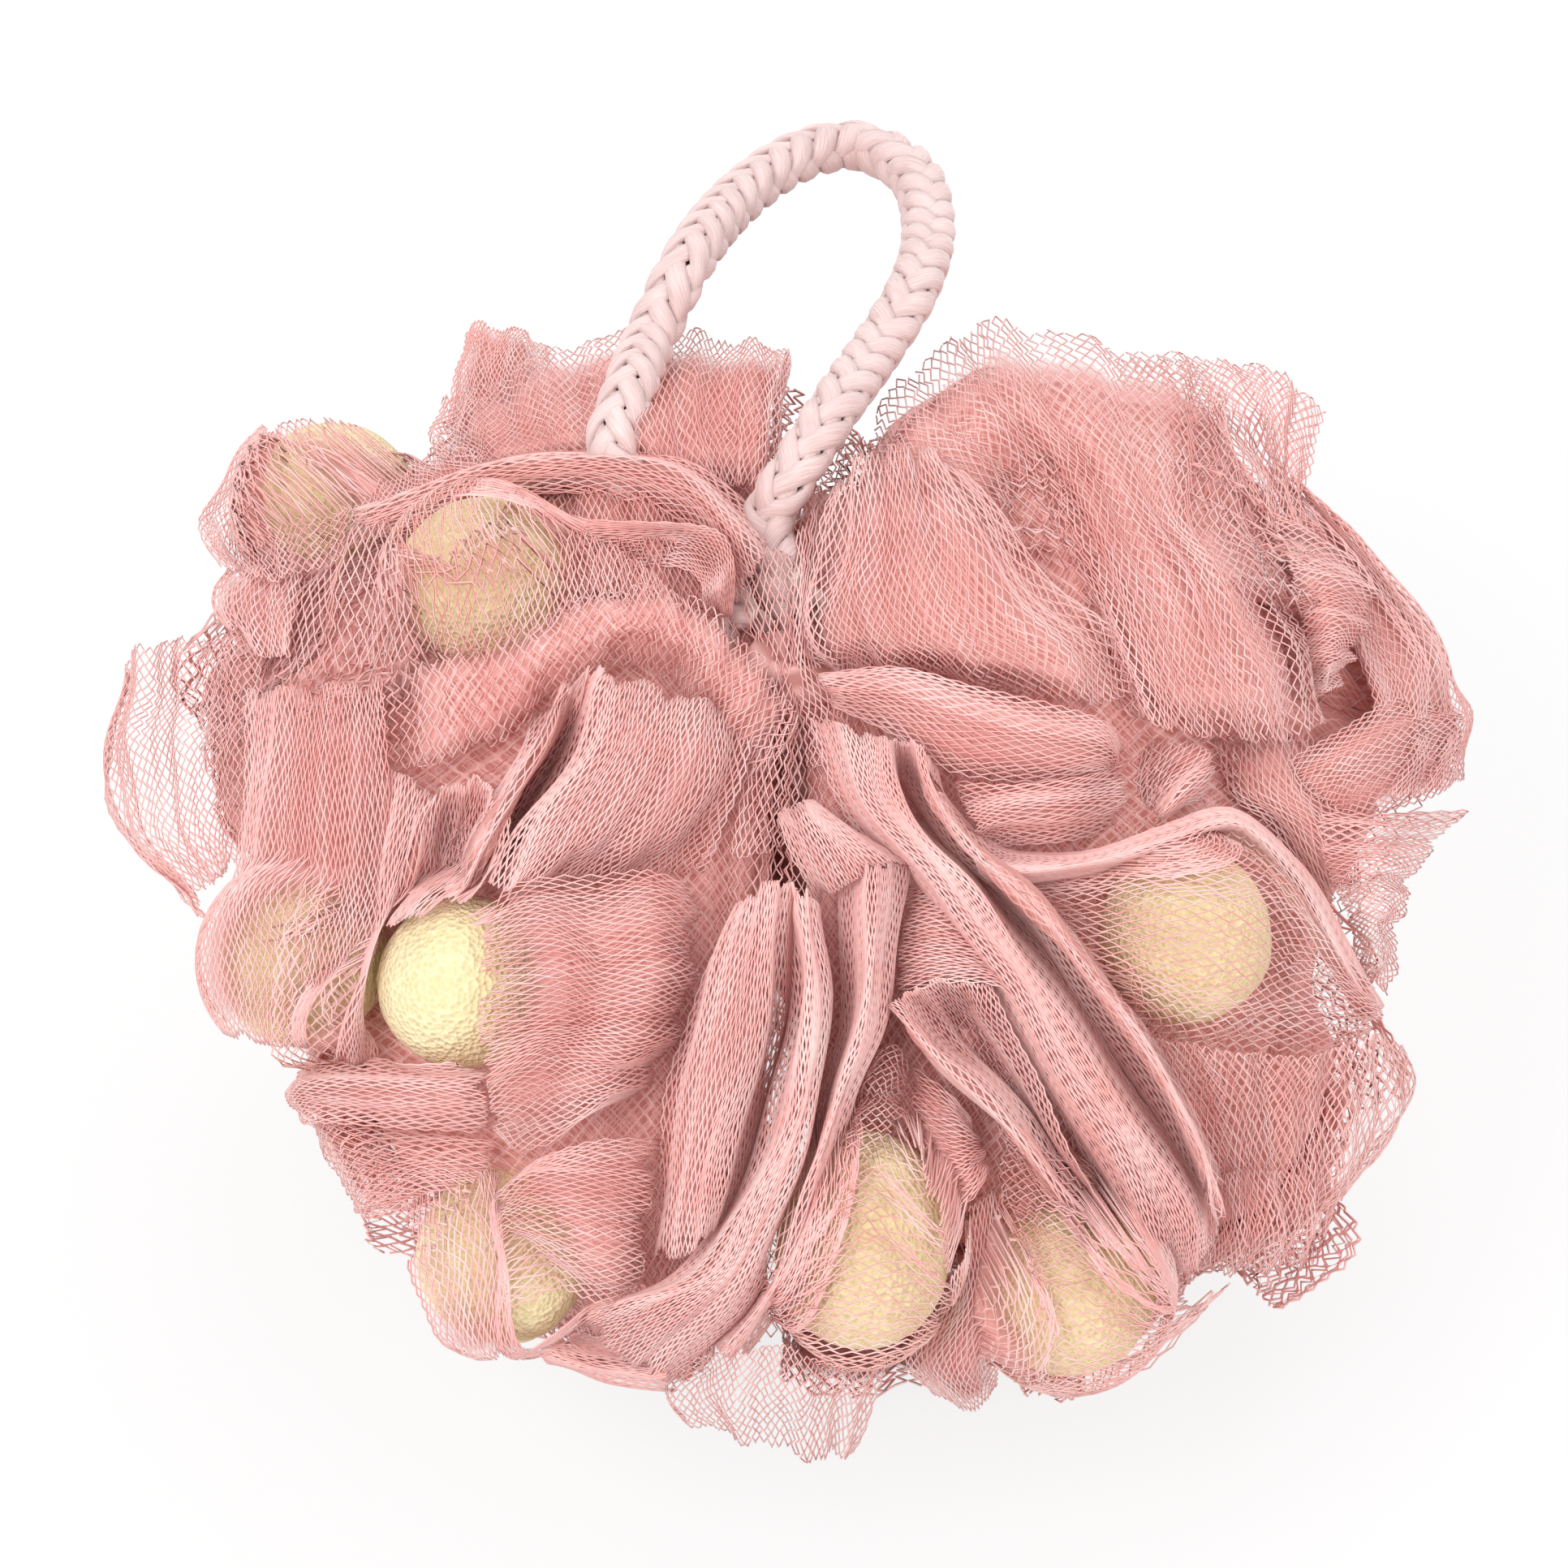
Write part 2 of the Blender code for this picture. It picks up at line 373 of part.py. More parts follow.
def spot(across, down, lift):
    """Point of the pouf that shows at a pixel of the drawing, lifted in mm over the outline."""
    p = (across - PHOTO_MIDDLE[0]) / PHOTO_HALF_WIDTH
    q = (PHOTO_MIDDLE[1] - down) / PHOTO_HALF_HEIGHT
    r = math.sqrt(max(0.0, 1 - p * p - q * q)) + lift * MM / NEAR.length
    return MIDDLE + ACROSS * p + UP * q + NEAR * r


def turned_under(point):
    """The same point turned through the middle to the hidden side."""
    return drawn_in(2 * MIDDLE - point)


def drawn_in(point):
    """The point brought in at its own height where it would show beyond the drawing's outline."""
    rel = point - MIDDLE
    high = rel.dot(PICTURE_UP)
    way = math.atan2(high, rel.x)
    round_reach = 1 / math.hypot(math.cos(way) / ACROSS.length, math.sin(way) / UP.dot(PICTURE_UP))
    seen = float(np.interp(way, OUTLINE_WAY, OUTLINE_REACH, period=2 * math.pi))
    pull = min(1.0, OUTLINE_SHARE * seen / round_reach)
    return point + (pull - 1) * Vector((rel.x, high / PICTURE_UP.y, 0))


def make_collection(name):
    group = bpy.data.collections.new(name)
    bpy.context.scene.collection.children.link(group)
    return group


def make_material(name, colour, roughness):
    material = bpy.data.materials.new(name)
    material.use_nodes = True
    shader = material.node_tree.nodes["Principled BSDF"]
    shader.inputs["Base Color"].default_value = (*colour, 1)
    shader.inputs["Roughness"].default_value = roughness
    material.diffuse_color = (*colour, 1)
    return material


def add_object(name, mesh, group, material=None):
    piece = bpy.data.objects.new(name, mesh)
    group.objects.link(piece)
    if material is not None:
        mesh.materials.clear()
        mesh.materials.append(material)
    return piece


def mark_cutter(piece):
    piece.hide_render = True
    piece.display_type = 'WIRE'
    return piece


def grid_mesh(name, grid, gaps):
    """Open sheet over a grid of points. Where gaps are asked for, each cell gets one diamond gap."""
    sheet = bmesh.new()
    rows = [[sheet.verts.new(point) for point in row] for row in grid]
    cells = []
    for k in range(len(rows) - 1):
        for near, far in zip(zip(rows[k], rows[k][1:]), zip(rows[k + 1], rows[k + 1][1:])):
            cells.append(sheet.faces.new((near[0], near[1], far[1], far[0])))
    if gaps:
        for cell in cells:
            inset_gap(sheet, cell)
    bmesh.ops.triangulate(sheet, faces=sheet.faces)
    mesh = bpy.data.meshes.new(name)
    sheet.to_mesh(mesh)
    sheet.free()
    return mesh


def inset_gap(sheet, cell):
    """Cut a diamond gap in one cell, its corners near the middles of the cell's sides."""
    corners = list(cell.verts)
    centre = cell.calc_center_median()
    ring = [sheet.verts.new(centre + ((a.co + b.co) / 2 - centre) * (1 - GAP_SHARE))
            for a, b in zip(corners, corners[1:] + corners[:1])]
    sheet.faces.remove(cell)
    for k, corner in enumerate(corners):
        sheet.faces.new((corner, corners[(k + 1) % 4], ring[k]))
        sheet.faces.new((corner, ring[k], ring[k - 1]))


def root_grid(grid, side):
    """Sheet that runs from the petal's deepest edge to the middle of its half, gathered on its way."""
    edges = ((grid[0], grid[1]), (grid[-1], grid[-2]),
             ([row[0] for row in grid], [row[1] for row in grid]),
             ([row[-1] for row in grid], [row[-2] for row in grid]))
    lobe = MIDDLE + Vector((side * LOBE_MIDDLE, 0, 0))
    reach = [sum((point - lobe).length for point in edge) / len(edge) for edge, _ in edges]
    edge, inner = edges[reach.index(min(reach))]
    middle = sum(edge, Vector()) / len(edge)
    start = [point.lerp(other, ROOT_LAP) for point, other in zip(edge, inner)]
    end = [lobe + (middle + (point - middle) * ROOT_GATHER - lobe) * ROOT_REACH for point in edge]
    return [start, end]


def outset(grid, margin):
    """Move the grid's outer edge outwards by a margin."""
    def pushed(line):
        first, last = line[0] - line[1], line[-1] - line[-2]
        return [line[0] + first.normalized() * margin, *line[1:-1], line[-1] + last.normalized() * margin]
    grid = [pushed(row) for row in grid]
    return [list(row) for row in zip(*[pushed(list(column)) for column in zip(*grid)])]


def petal(name, rows, side, group, margin=0.0, under=False, gaps=False):
    """One petal as a thin shell, or, with a margin, the space it needs round itself."""
    grid = [[spot(*corner) for corner in row] for row in rows]
    if under:
        grid = [[turned_under(point) for point in row] for row in grid]
    if margin:
        grid = outset(grid, margin)
    sheets = [(name, grid)]
    if name in ROOTED_PETALS:
        sheets.append((name + "_root", root_grid(grid, side)))
    for label, net in sheets:
        label += "_room" if margin else ""
        piece = mark_cutter(add_object(label, grid_mesh(label, net, gaps and net is grid), group))
        shell = piece.modifiers.new("Net", 'SOLIDIFY')
        shell.solidify_mode = 'NON_MANIFOLD'
        shell.nonmanifold_thickness_mode = 'CONSTRAINTS'
        shell.thickness = NET_THICKNESS + 2 * margin
        shell.offset = 0
        piece.modifiers.new("Flat faces", 'TRIANGULATE')


def lobe_core(name, side, group, margin=0.0):
    """Gathered bulk of one half: rings that swell from the neck, with pleats that fan out from the tie."""
    half_wide = POUF_WIDTH / 2 - BED_DEPTH + margin
    half_deep = POUF_DEPTH / 2 - BED_DEPTH + margin
    half_up = POUF_HEIGHT / 2 - BED_DEPTH + margin
    half_down = POUF_HEIGHT / 2 + BASE_PRESS
    neck = NECK_DIAMETER / 2 - CLEARANCE + margin
    tie_half = TIE_TURNS * TIE_CORD_DIAMETER / 2 + CLEARANCE
    stations = [0.0, tie_half, tie_half + SHOULDER_PLACE * (half_wide - tie_half)]
    stations += [half_wide * share for share in RING_PLACES]
    start = CLEARANCE / 2 - margin * 0.4
    core = bmesh.new()
    rings = []
    for k, along in enumerate(stations):
        swell = (0.0, 0.0, SHOULDER_SWELL, 1.0)[min(k, 3)]
        fall = math.sqrt(1 - (along / half_wide) ** 2)
        centre = TIE_PLACE + TIE_AXIS * side * max(along, start)
        ring = []
        for step in range(2 * PLEATS):
            angle = math.pi * step / PLEATS
            pleat = 1 + PLEAT_DEPTH * swell * (1 if step % 2 else -1)
            deep = neck + (half_deep * fall * pleat - neck) * swell
            half_tall = half_up if math.sin(angle) > 0 else half_down
            tall = neck + (half_tall * fall * pleat - neck) * swell
            ring.append(core.verts.new(drawn_in(centre + TIE_SIDE * deep * math.cos(angle)
                                                + Vector((0, 0, tall * math.sin(angle))))))
        rings.append(ring)
    tip = core.verts.new(drawn_in(TIE_PLACE + TIE_AXIS * side * half_wide))
    core.faces.new(rings[0])
    for near, far in zip(rings, rings[1:]):
        for step in range(2 * PLEATS):
            after = (step + 1) % (2 * PLEATS)
            core.faces.new((near[step], near[after], far[after], far[step]))
    for step in range(2 * PLEATS):
        core.faces.new((rings[-1][step], rings[-1][(step + 1) % (2 * PLEATS)], tip))
    bmesh.ops.recalc_face_normals(core, faces=core.faces)
    bmesh.ops.triangulate(core, faces=core.faces)
    mesh = bpy.data.meshes.new(name)
    core.to_mesh(mesh)
    core.free()
    return mark_cutter(add_object(name, mesh, group))


def turned(name, profile, group, material=None, steps=TIE_STEPS):
    """Solid turned about its own Z axis from a profile in its XZ plane."""
    mesh = bpy.data.meshes.new(name)
    points = [(radius, 0, height) for radius, height in profile]
    mesh.from_pydata(points, [(k, k + 1) for k in range(len(points) - 1)], [])
    piece = add_object(name, mesh, group, material)
    screw = piece.modifiers.new("Turn", 'SCREW')
    screw.angle = 2 * math.pi
    screw.steps = steps
    screw.render_steps = steps
    screw.use_merge_vertices = True
    screw.merge_threshold = 0.00005
    return piece


def place_along(piece, place, direction):
    """Put the piece's own Z axis along a direction."""
    piece.matrix_world = Matrix.Translation(place) @ direction.to_track_quat('Z', 'Y').to_matrix().to_4x4()


def tie_profile(margin):
    """Side of the winding: turns of cord next to each other, closed by the bore."""
    bore = NECK_DIAMETER / 2
    if margin:
        half = TIE_TURNS * TIE_CORD_DIAMETER / 2 + margin
        outer = bore + TIE_CORD_DIAMETER + margin
        inner = bore - 2 * margin
        return [(inner, -half), (inner, half), (outer, half), (outer, -half), (inner, -half)]
    radius = TIE_CORD_DIAMETER / 2
    profile = [(bore, TIE_TURNS * radius)]
    for turn in range(TIE_TURNS):
        middle = radius * (TIE_TURNS - 1 - 2 * turn)
        for angle in (60, 20, -20, -60):
            bend = math.radians(angle)
            profile.append((bore + radius + radius * math.cos(bend), middle + radius * math.sin(bend)))
    profile.append((bore, -TIE_TURNS * radius))
    return profile + profile[:1]


def knot_profile(length, margin):
    """Stem from the winding, swelling into the knot."""
    stem = STEM_DIAMETER / 2 + margin
    bulb = KNOT_DIAMETER / 2 + margin
    top = length + margin
    profile = [(0, top), (bulb * 0.55, top - bulb * 0.16), (bulb * 0.92, top - bulb * 0.62)]
    profile += [(bulb, top - bulb), (bulb * 0.92, top - bulb * 1.4), (stem, top - bulb * 1.95)]
    return profile + [(stem, -margin), (0, -margin)]


def smooth_route(points, spacing):
    """Points at even spacing along a Catmull-Rom curve through the given ones."""
    given = np.array(points)
    padded = np.vstack([2 * given[0] - given[1], given, 2 * given[-1] - given[-2]])
    fine = []
    for a, b, c, d in zip(padded, padded[1:], padded[2:], padded[3:]):
        for t in np.linspace(0, 1, 16, endpoint=False):
            fine.append(b + 0.5 * t * (c - a + t * (2 * a - 5 * b + 4 * c - d + t * (3 * (b - c) + d - a))))
    fine = np.array(fine + [given[-1]])
    run = np.concatenate([[0], np.cumsum(np.linalg.norm(np.diff(fine, axis=0), axis=1))])
    even = np.linspace(0, run[-1], round(run[-1] / spacing) + 1)
    return np.stack([np.interp(even, run, fine[:, axis]) for axis in range(3)], axis=1)


def cord_tube(name, route, diameter, group, material=None):
    """Round cord along a route, as a curve with filled caps."""
    curve = bpy.data.curves.new(name, 'CURVE')
    curve.dimensions = '3D'
    curve.bevel_depth = diameter / 2
    curve.bevel_resolution = BEVEL_STEPS
    curve.use_fill_caps = True
    spline = curve.splines.new('POLY')
    spline.points.add(len(route) - 1)
    for point, place in zip(spline.points, route):
        point.co = (*place, 1)
    piece = bpy.data.objects.new(name, curve)
    group.objects.link(piece)
    if material is not None:
        curve.materials.append(material)
    return piece


def evaluated_copy(piece, name, group, weld=0.0):
    """The piece's shape as a plain mesh of its own, with its place in it."""
    bpy.context.view_layer.update()
    shape = piece.evaluated_get(bpy.context.evaluated_depsgraph_get())
    mesh = bpy.data.meshes.new_from_object(shape)
    mesh.transform(piece.matrix_world)
    if weld:
        work = bmesh.new()
        work.from_mesh(mesh)
        bmesh.ops.remove_doubles(work, verts=work.verts, dist=weld)
        work.to_mesh(mesh)
        work.free()
    return add_object(name, mesh, group)


def add_boolean(piece, operation, group):
    step = piece.modifiers.new(operation.title(), 'BOOLEAN')
    step.operation = operation
    step.operand_type = 'COLLECTION'
    step.collection = group
    step.solver = 'EXACT'
    step.use_self = True


def keep_main_body(mesh):
    """Drop the scraps that the cuts set free and the linings of sealed hollows."""
    work = bmesh.new()
    work.from_mesh(mesh)
    bmesh.ops.dissolve_limit(work, angle_limit=FLAT_ANGLE, verts=work.verts, edges=work.edges)
    bmesh.ops.triangulate(work, faces=work.faces)
    left_over = set(work.faces)
    main = set()
    while left_over:
        front = [left_over.pop()]
        body = set(front)
        while front:
            for edge in front.pop().edges:
                for neighbour in edge.link_faces:
                    if neighbour in left_over:
                        left_over.discard(neighbour)
                        body.add(neighbour)
                        front.append(neighbour)
        if len(body) > len(main):
            main = body
    bmesh.ops.delete(work, geom=[face for face in work.faces if face not in main], context='FACES')
    work.to_mesh(mesh)
    work.free()


for leftover in list(bpy.data.objects):
    bpy.data.objects.remove(leftover)
parts = make_collection(COLLECTION)
cutters = make_collection("cutters")

net_pink = make_material("net_pink", (0.87, 0.47, 0.45), 0.45)
net_rose = make_material("net_rose", (0.82, 0.40, 0.39), 0.45)
sponge_yellow = make_material("sponge_yellow", (0.88, 0.74, 0.42), 0.95)
cord_pink = make_material("cord_pink", (0.82, 0.62, 0.60), 0.75)

# Foam balls, each kept as its own piece, and the room it needs in the net
ball_places = [(spot(*place), FOAM_BALL_SIZE) for place in FOAM_BALLS]
ball_places.append((spot(*FOAM_BLOCK), FOAM_BLOCK_LENGTH))
ball_places += [(turned_under(spot(*place)), FOAM_BALL_SIZE) for place in UNDER_BALLS]
ball_room = make_collection("ball_room")
for number, (place, length) in enumerate(ball_places, 1):
    for is_room in (False, True):
        radius = FOAM_BALL_SIZE / 2 + (CLEARANCE if is_room else 0)
        bpy.ops.mesh.primitive_uv_sphere_add(segments=BALL_SEGMENTS, ring_count=BALL_RINGS, radius=radius)
        ball = bpy.context.object
        bpy.context.collection.objects.unlink(ball)
        stretch = (length / 2 - FOAM_BALL_SIZE / 2 + radius) / radius
        turn = PICTURE_UP.to_track_quat('Z', 'Y').to_matrix().to_4x4()
        ball.data.transform(Matrix.Translation(place) @ turn @ Matrix.Diagonal((1, 1, stretch, 1)))
        ball.data.shade_smooth()
        if is_room:
            ball.name = f"room_{number:02d}"
            ball_room.objects.link(mark_cutter(ball))
        else:
            ball.name = ball.data.name = f"foam_ball_{number:02d}"
            ball.data.materials.append(sponge_yellow)
            parts.objects.link(ball)

# Tie wound round the neck
tie = turned("centre_tie", tie_profile(0.0), parts, cord_pink)
place_along(tie, TIE_PLACE, TIE_AXIS)
tie_room = mark_cutter(turned("tie_room", tie_profile(CLEARANCE), ball_room))
place_along(tie_room, TIE_PLACE, TIE_AXIS)

# Knot on its stem, from the tie to the valley's mouth
knot_middle = spot(*KNOT_PLACE)
knot_way = (knot_middle - TIE_PLACE).normalized()
tie_outer = NECK_DIAMETER / 2 + TIE_CORD_DIAMETER
stem_foot = TIE_PLACE + knot_way * (tie_outer + CLEARANCE)
knot_length = (knot_middle - stem_foot).length + KNOT_DIAMETER / 2
knot = turned("loop_knot", knot_profile(knot_length, 0.0), parts, cord_pink, steps=KNOT_STEPS)
place_along(knot, stem_foot, knot_way)
knot_room = mark_cutter(turned("knot_room", knot_profile(knot_length, CLEARANCE), ball_room, steps=KNOT_STEPS))
place_along(knot_room, stem_foot, knot_way)

# Hanging loop, which ends against the knot on both sides
loop_points = [spot(*place) for place in LOOP_ROUTE]
reach_out = KNOT_DIAMETER / 2 + CORD_DIAMETER * END_DRAW + CLEARANCE
ends = [knot_middle + (point - knot_middle).normalized() * reach_out for point in (loop_points[0], loop_points[-1])]
loop_points = smooth_route([ends[0], *loop_points[1:-1], ends[1]], ROUTE_STEP)
loop = cord_tube("hanging_loop", loop_points, CORD_DIAMETER, parts, cord_pink)
room_curve = cord_tube("loop_room_curve", loop_points, CORD_DIAMETER + 2 * CLEARANCE, cutters)
mark_cutter(evaluated_copy(room_curve, "loop_room", ball_room, weld=WELD))
bpy.data.objects.remove(room_curve)

# Floor: everything is pressed flat where the pouf rests
bpy.ops.mesh.primitive_cube_add(size=1)
floor = bpy.context.object
bpy.context.collection.objects.unlink(floor)
floor.name = "floor_cut"
floor.data.transform(Matrix.Translation((0, 0, -0.5 * POUF_HEIGHT)) @ Matrix.Diagonal((3 * POUF_WIDTH, 3 * POUF_DEPTH,
                                                                                    POUF_HEIGHT, 1)))
ball_room.objects.link(mark_cutter(floor))

# The two lengths of net
for name, side, petals, opposite in (("net_tube_left", -1, LEFT_PETALS, RIGHT_PETALS),
                                     ("net_tube_right", 1, RIGHT_PETALS, LEFT_PETALS)):
    group = make_collection(name + "_petals")
    for label, rows in petals.items():
        petal(label, rows, side, group, gaps=label in OPEN_PETALS)
    for label, rows in opposite.items():
        if label in UNDER_PETALS:
            petal("under_" + label, rows, side, group, under=True)
    body = lobe_core(name + "_core", side, cutters)
    add_boolean(body, 'UNION', group)
    if side > 0:
        left_room = make_collection("left_room")
        for label, rows in LEFT_PETALS.items():
            petal(label, rows, -1, left_room, margin=CLEARANCE)
        for label, rows in RIGHT_PETALS.items():
            if label in UNDER_PETALS:
                petal("under_" + label, rows, -1, left_room, margin=CLEARANCE, under=True)
        left_core = lobe_core("left_core_room", -1, left_room, margin=CLEARANCE)
        add_boolean(body, 'DIFFERENCE', left_room)
    add_boolean(body, 'DIFFERENCE', ball_room)
    net = evaluated_copy(body, name, parts)
    keep_main_body(net.data)
    net.data.materials.append(net_pink if side < 0 else net_rose)
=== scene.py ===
"""Looks of the mesh bath pouf: netting of single strands, foam balls, braided loop, tie and knot."""

import math

import bpy
import numpy as np
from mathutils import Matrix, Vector


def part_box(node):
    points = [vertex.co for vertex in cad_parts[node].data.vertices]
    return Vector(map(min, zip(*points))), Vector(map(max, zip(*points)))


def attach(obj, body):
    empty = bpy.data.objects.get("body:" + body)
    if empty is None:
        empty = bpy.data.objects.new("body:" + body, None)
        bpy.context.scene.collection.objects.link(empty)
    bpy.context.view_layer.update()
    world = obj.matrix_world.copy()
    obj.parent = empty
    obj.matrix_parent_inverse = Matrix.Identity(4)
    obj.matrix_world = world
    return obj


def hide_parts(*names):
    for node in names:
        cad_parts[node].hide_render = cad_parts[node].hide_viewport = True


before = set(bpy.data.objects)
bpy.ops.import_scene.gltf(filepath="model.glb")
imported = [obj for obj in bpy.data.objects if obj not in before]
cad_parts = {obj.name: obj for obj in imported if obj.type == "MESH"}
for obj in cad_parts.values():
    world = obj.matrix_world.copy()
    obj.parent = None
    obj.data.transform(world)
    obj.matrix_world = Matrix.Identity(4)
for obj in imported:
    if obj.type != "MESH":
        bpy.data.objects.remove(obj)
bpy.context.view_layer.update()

# The camera looks down at 50 degrees from the front, through a long lens, as the photograph does.
# A pixel of the photograph is 0.1 mm at the pouf's middle, and the picture's centre is 11.9 mm above it.
MIDDLE = np.array([-0.00013, 0.00318, 0.055])
LOOK_DOWN = math.radians(50)
RISE, RUN = math.sin(LOOK_DOWN), math.cos(LOOK_DOWN)
PICTURE_UP = np.array([0, RISE, RUN])
TO_EYE = np.array([0, -RUN, RISE])
EYE_DISTANCE, PICTURE_WIDTH, PICTURE_RISE = 2.4, 0.1932, 0.0119
camera = bpy.data.objects.new("camera", bpy.data.cameras.new("camera"))
bpy.context.scene.collection.objects.link(camera)
camera.location = Vector(MIDDLE + PICTURE_RISE * PICTURE_UP + EYE_DISTANCE * TO_EYE)
camera.rotation_euler = (math.pi / 2 - LOOK_DOWN, 0, 0)
camera.data.lens = camera.data.sensor_width * EYE_DISTANCE / PICTURE_WIDTH
camera.data.clip_end = 20
bpy.context.scene.camera = camera

# Hanging loop: a round braid, 6.7 mm thick and 0.21 m long, from the knot over the back and round to the knot.
# Eight flat bundles of dusty pink filament cross two over and two under, each 2.8 mm wide; a V is 4.7 mm long.
CORD_DIAMETER = 0.0067
LOOP_ROUTE = [(930, 790, -13.5), (860, 705, -13.5), (795, 635, -9.5), (757, 562, -1.0), (778, 485, 5.5),
              (803, 418, 9.0), (850, 320, 25.0), (905, 245, 12.0), (980, 187, 2.0), (1060, 170, -3.0),
              (1128, 208, 3.0), (1146, 280, 13.0), (1128, 352, 25.0), (1082, 430, 9.0), (1030, 505, 5.5),
              (980, 585, -2.0), (948, 645, -9.5), (966, 720, -12.5), (990, 790, -13.0)]
HALF_WIDE, HALF_DEEP, HALF_TALL = 0.085, 0.080, 0.055
PIXEL = 0.0001
DRAWN_MIDDLE_X, DRAWN_MIDDLE_Y, DRAWN_HALF_WIDE, DRAWN_HALF_TALL = 967, 1085, 850, 707
PICTURE_TALL = math.hypot(HALF_DEEP * RISE, HALF_TALL * RUN)
NEAR = TO_EYE / math.hypot(RUN / HALF_DEEP, RISE / HALF_TALL)
ACROSS = np.array([HALF_WIDE, 0, 0])
UP = np.array([0, HALF_DEEP ** 2 * RISE, HALF_TALL ** 2 * RUN]) / PICTURE_TALL


def spot(drawing):
    """Points that show at pixels (x, y) of the photograph, lifted z mm over the pouf's rounded outline."""
    drawn = np.asarray(drawing, float)
    right = (drawn[..., 0] - DRAWN_MIDDLE_X) / DRAWN_HALF_WIDE
    high = (DRAWN_MIDDLE_Y - drawn[..., 1]) / DRAWN_HALF_TALL
    out = np.sqrt(np.clip(1 - right ** 2 - high ** 2, 0, None)) + drawn[..., 2] * 0.001 / np.linalg.norm(NEAR)
    return MIDDLE + right[..., None] * ACROSS + high[..., None] * UP + out[..., None] * NEAR


def unit(vectors):
    return vectors / np.maximum(np.linalg.norm(vectors, axis=-1, keepdims=True), 1e-12)


def smooth_route(points, spacing):
    """Points at even spacing along the Catmull-Rom curve through the given ones."""
    padded = np.vstack([2 * points[0] - points[1], points, 2 * points[-1] - points[-2]])
    t = np.linspace(0, 1, 24, endpoint=False)[:, None]
    fine = [b + 0.5 * t * (c - a + t * (2 * a - 5 * b + 4 * c - d + t * (3 * (b - c) + d - a)))
            for a, b, c, d in zip(padded, padded[1:], padded[2:], padded[3:])]
    fine = np.vstack([*fine, points[-1:]])
    run = np.concatenate([[0], np.cumsum(np.linalg.norm(np.diff(fine, axis=0), axis=1))])
    even = np.linspace(0, run[-1], round(run[-1] / spacing) + 1)
    return np.stack([np.interp(even, run, fine[:, axis]) for axis in range(3)], axis=1)


def carried_frame(route):
    """Two directions square to the route that turn with it as little as they can."""
    along = unit(np.gradient(route, axis=0))
    side = [unit(np.cross(along[0], TO_EYE))]
    for way in along[1:]:
        side.append(unit(side[-1] - way * np.dot(side[-1], way)))
    side = np.array(side)
    return side, np.cross(along, side)


def add_mesh(name, points, quads, triangles=(), marks=None, smooth=True):
    """Object from arrays of points, four-cornered and three-cornered faces, and named values per point."""
    quads = np.asarray(quads, np.int32).reshape(-1, 4)
    triangles = np.asarray(triangles, np.int32).reshape(-1, 3)
    mesh = bpy.data.meshes.new(name)
    mesh.vertices.add(len(points))
    mesh.vertices.foreach_set("co", np.asarray(points, np.float32).ravel())
    corners = np.concatenate([quads.ravel(), triangles.ravel()])
    mesh.loops.add(len(corners))
    mesh.loops.foreach_set("vertex_index", corners)
    mesh.polygons.add(len(quads) + len(triangles))
    starts = np.concatenate([4 * np.arange(len(quads)), 4 * len(quads) + 3 * np.arange(len(triangles))])
    mesh.polygons.foreach_set("loop_start", starts.astype(np.int32))
    for label, values in (marks or {}).items():
        values = np.asarray(values, np.float32)
        kind = "FLOAT2" if values.ndim == 2 else "FLOAT"
        layer = mesh.attributes.new(label, kind, 'POINT')
        layer.data.foreach_set("vector" if kind == "FLOAT2" else "value", values.ravel())
    mesh.update(calc_edges=True)
    if smooth:
        mesh.shade_smooth()
    piece = bpy.data.objects.new(name, mesh)
    bpy.context.scene.collection.objects.link(piece)
    return piece


def tube_faces(count, steps, sides):
    """Faces of rows of closed tubes: a band of quads for each, and a fan over each end."""
    ring = (np.arange(count)[:, None, None] * steps + np.arange(steps - 1)[None, :, None]) * sides
    turn, after = np.arange(sides), (np.arange(sides) + 1) % sides
    quads = np.stack([ring + turn, ring + after, ring + sides + after, ring + sides + turn], axis=-1)
    first = np.arange(count)[:, None] * steps * sides
    fan = np.arange(1, sides - 1)
    start = np.stack([first + 0 * fan, first + fan + 1, first + fan], axis=-1)
    last = first + (steps - 1) * sides
    end = np.stack([last + 0 * fan, last + fan, last + fan + 1], axis=-1)
    return quads.reshape(-1, 4), np.concatenate([start.reshape(-1, 3), end.reshape(-1, 3)])


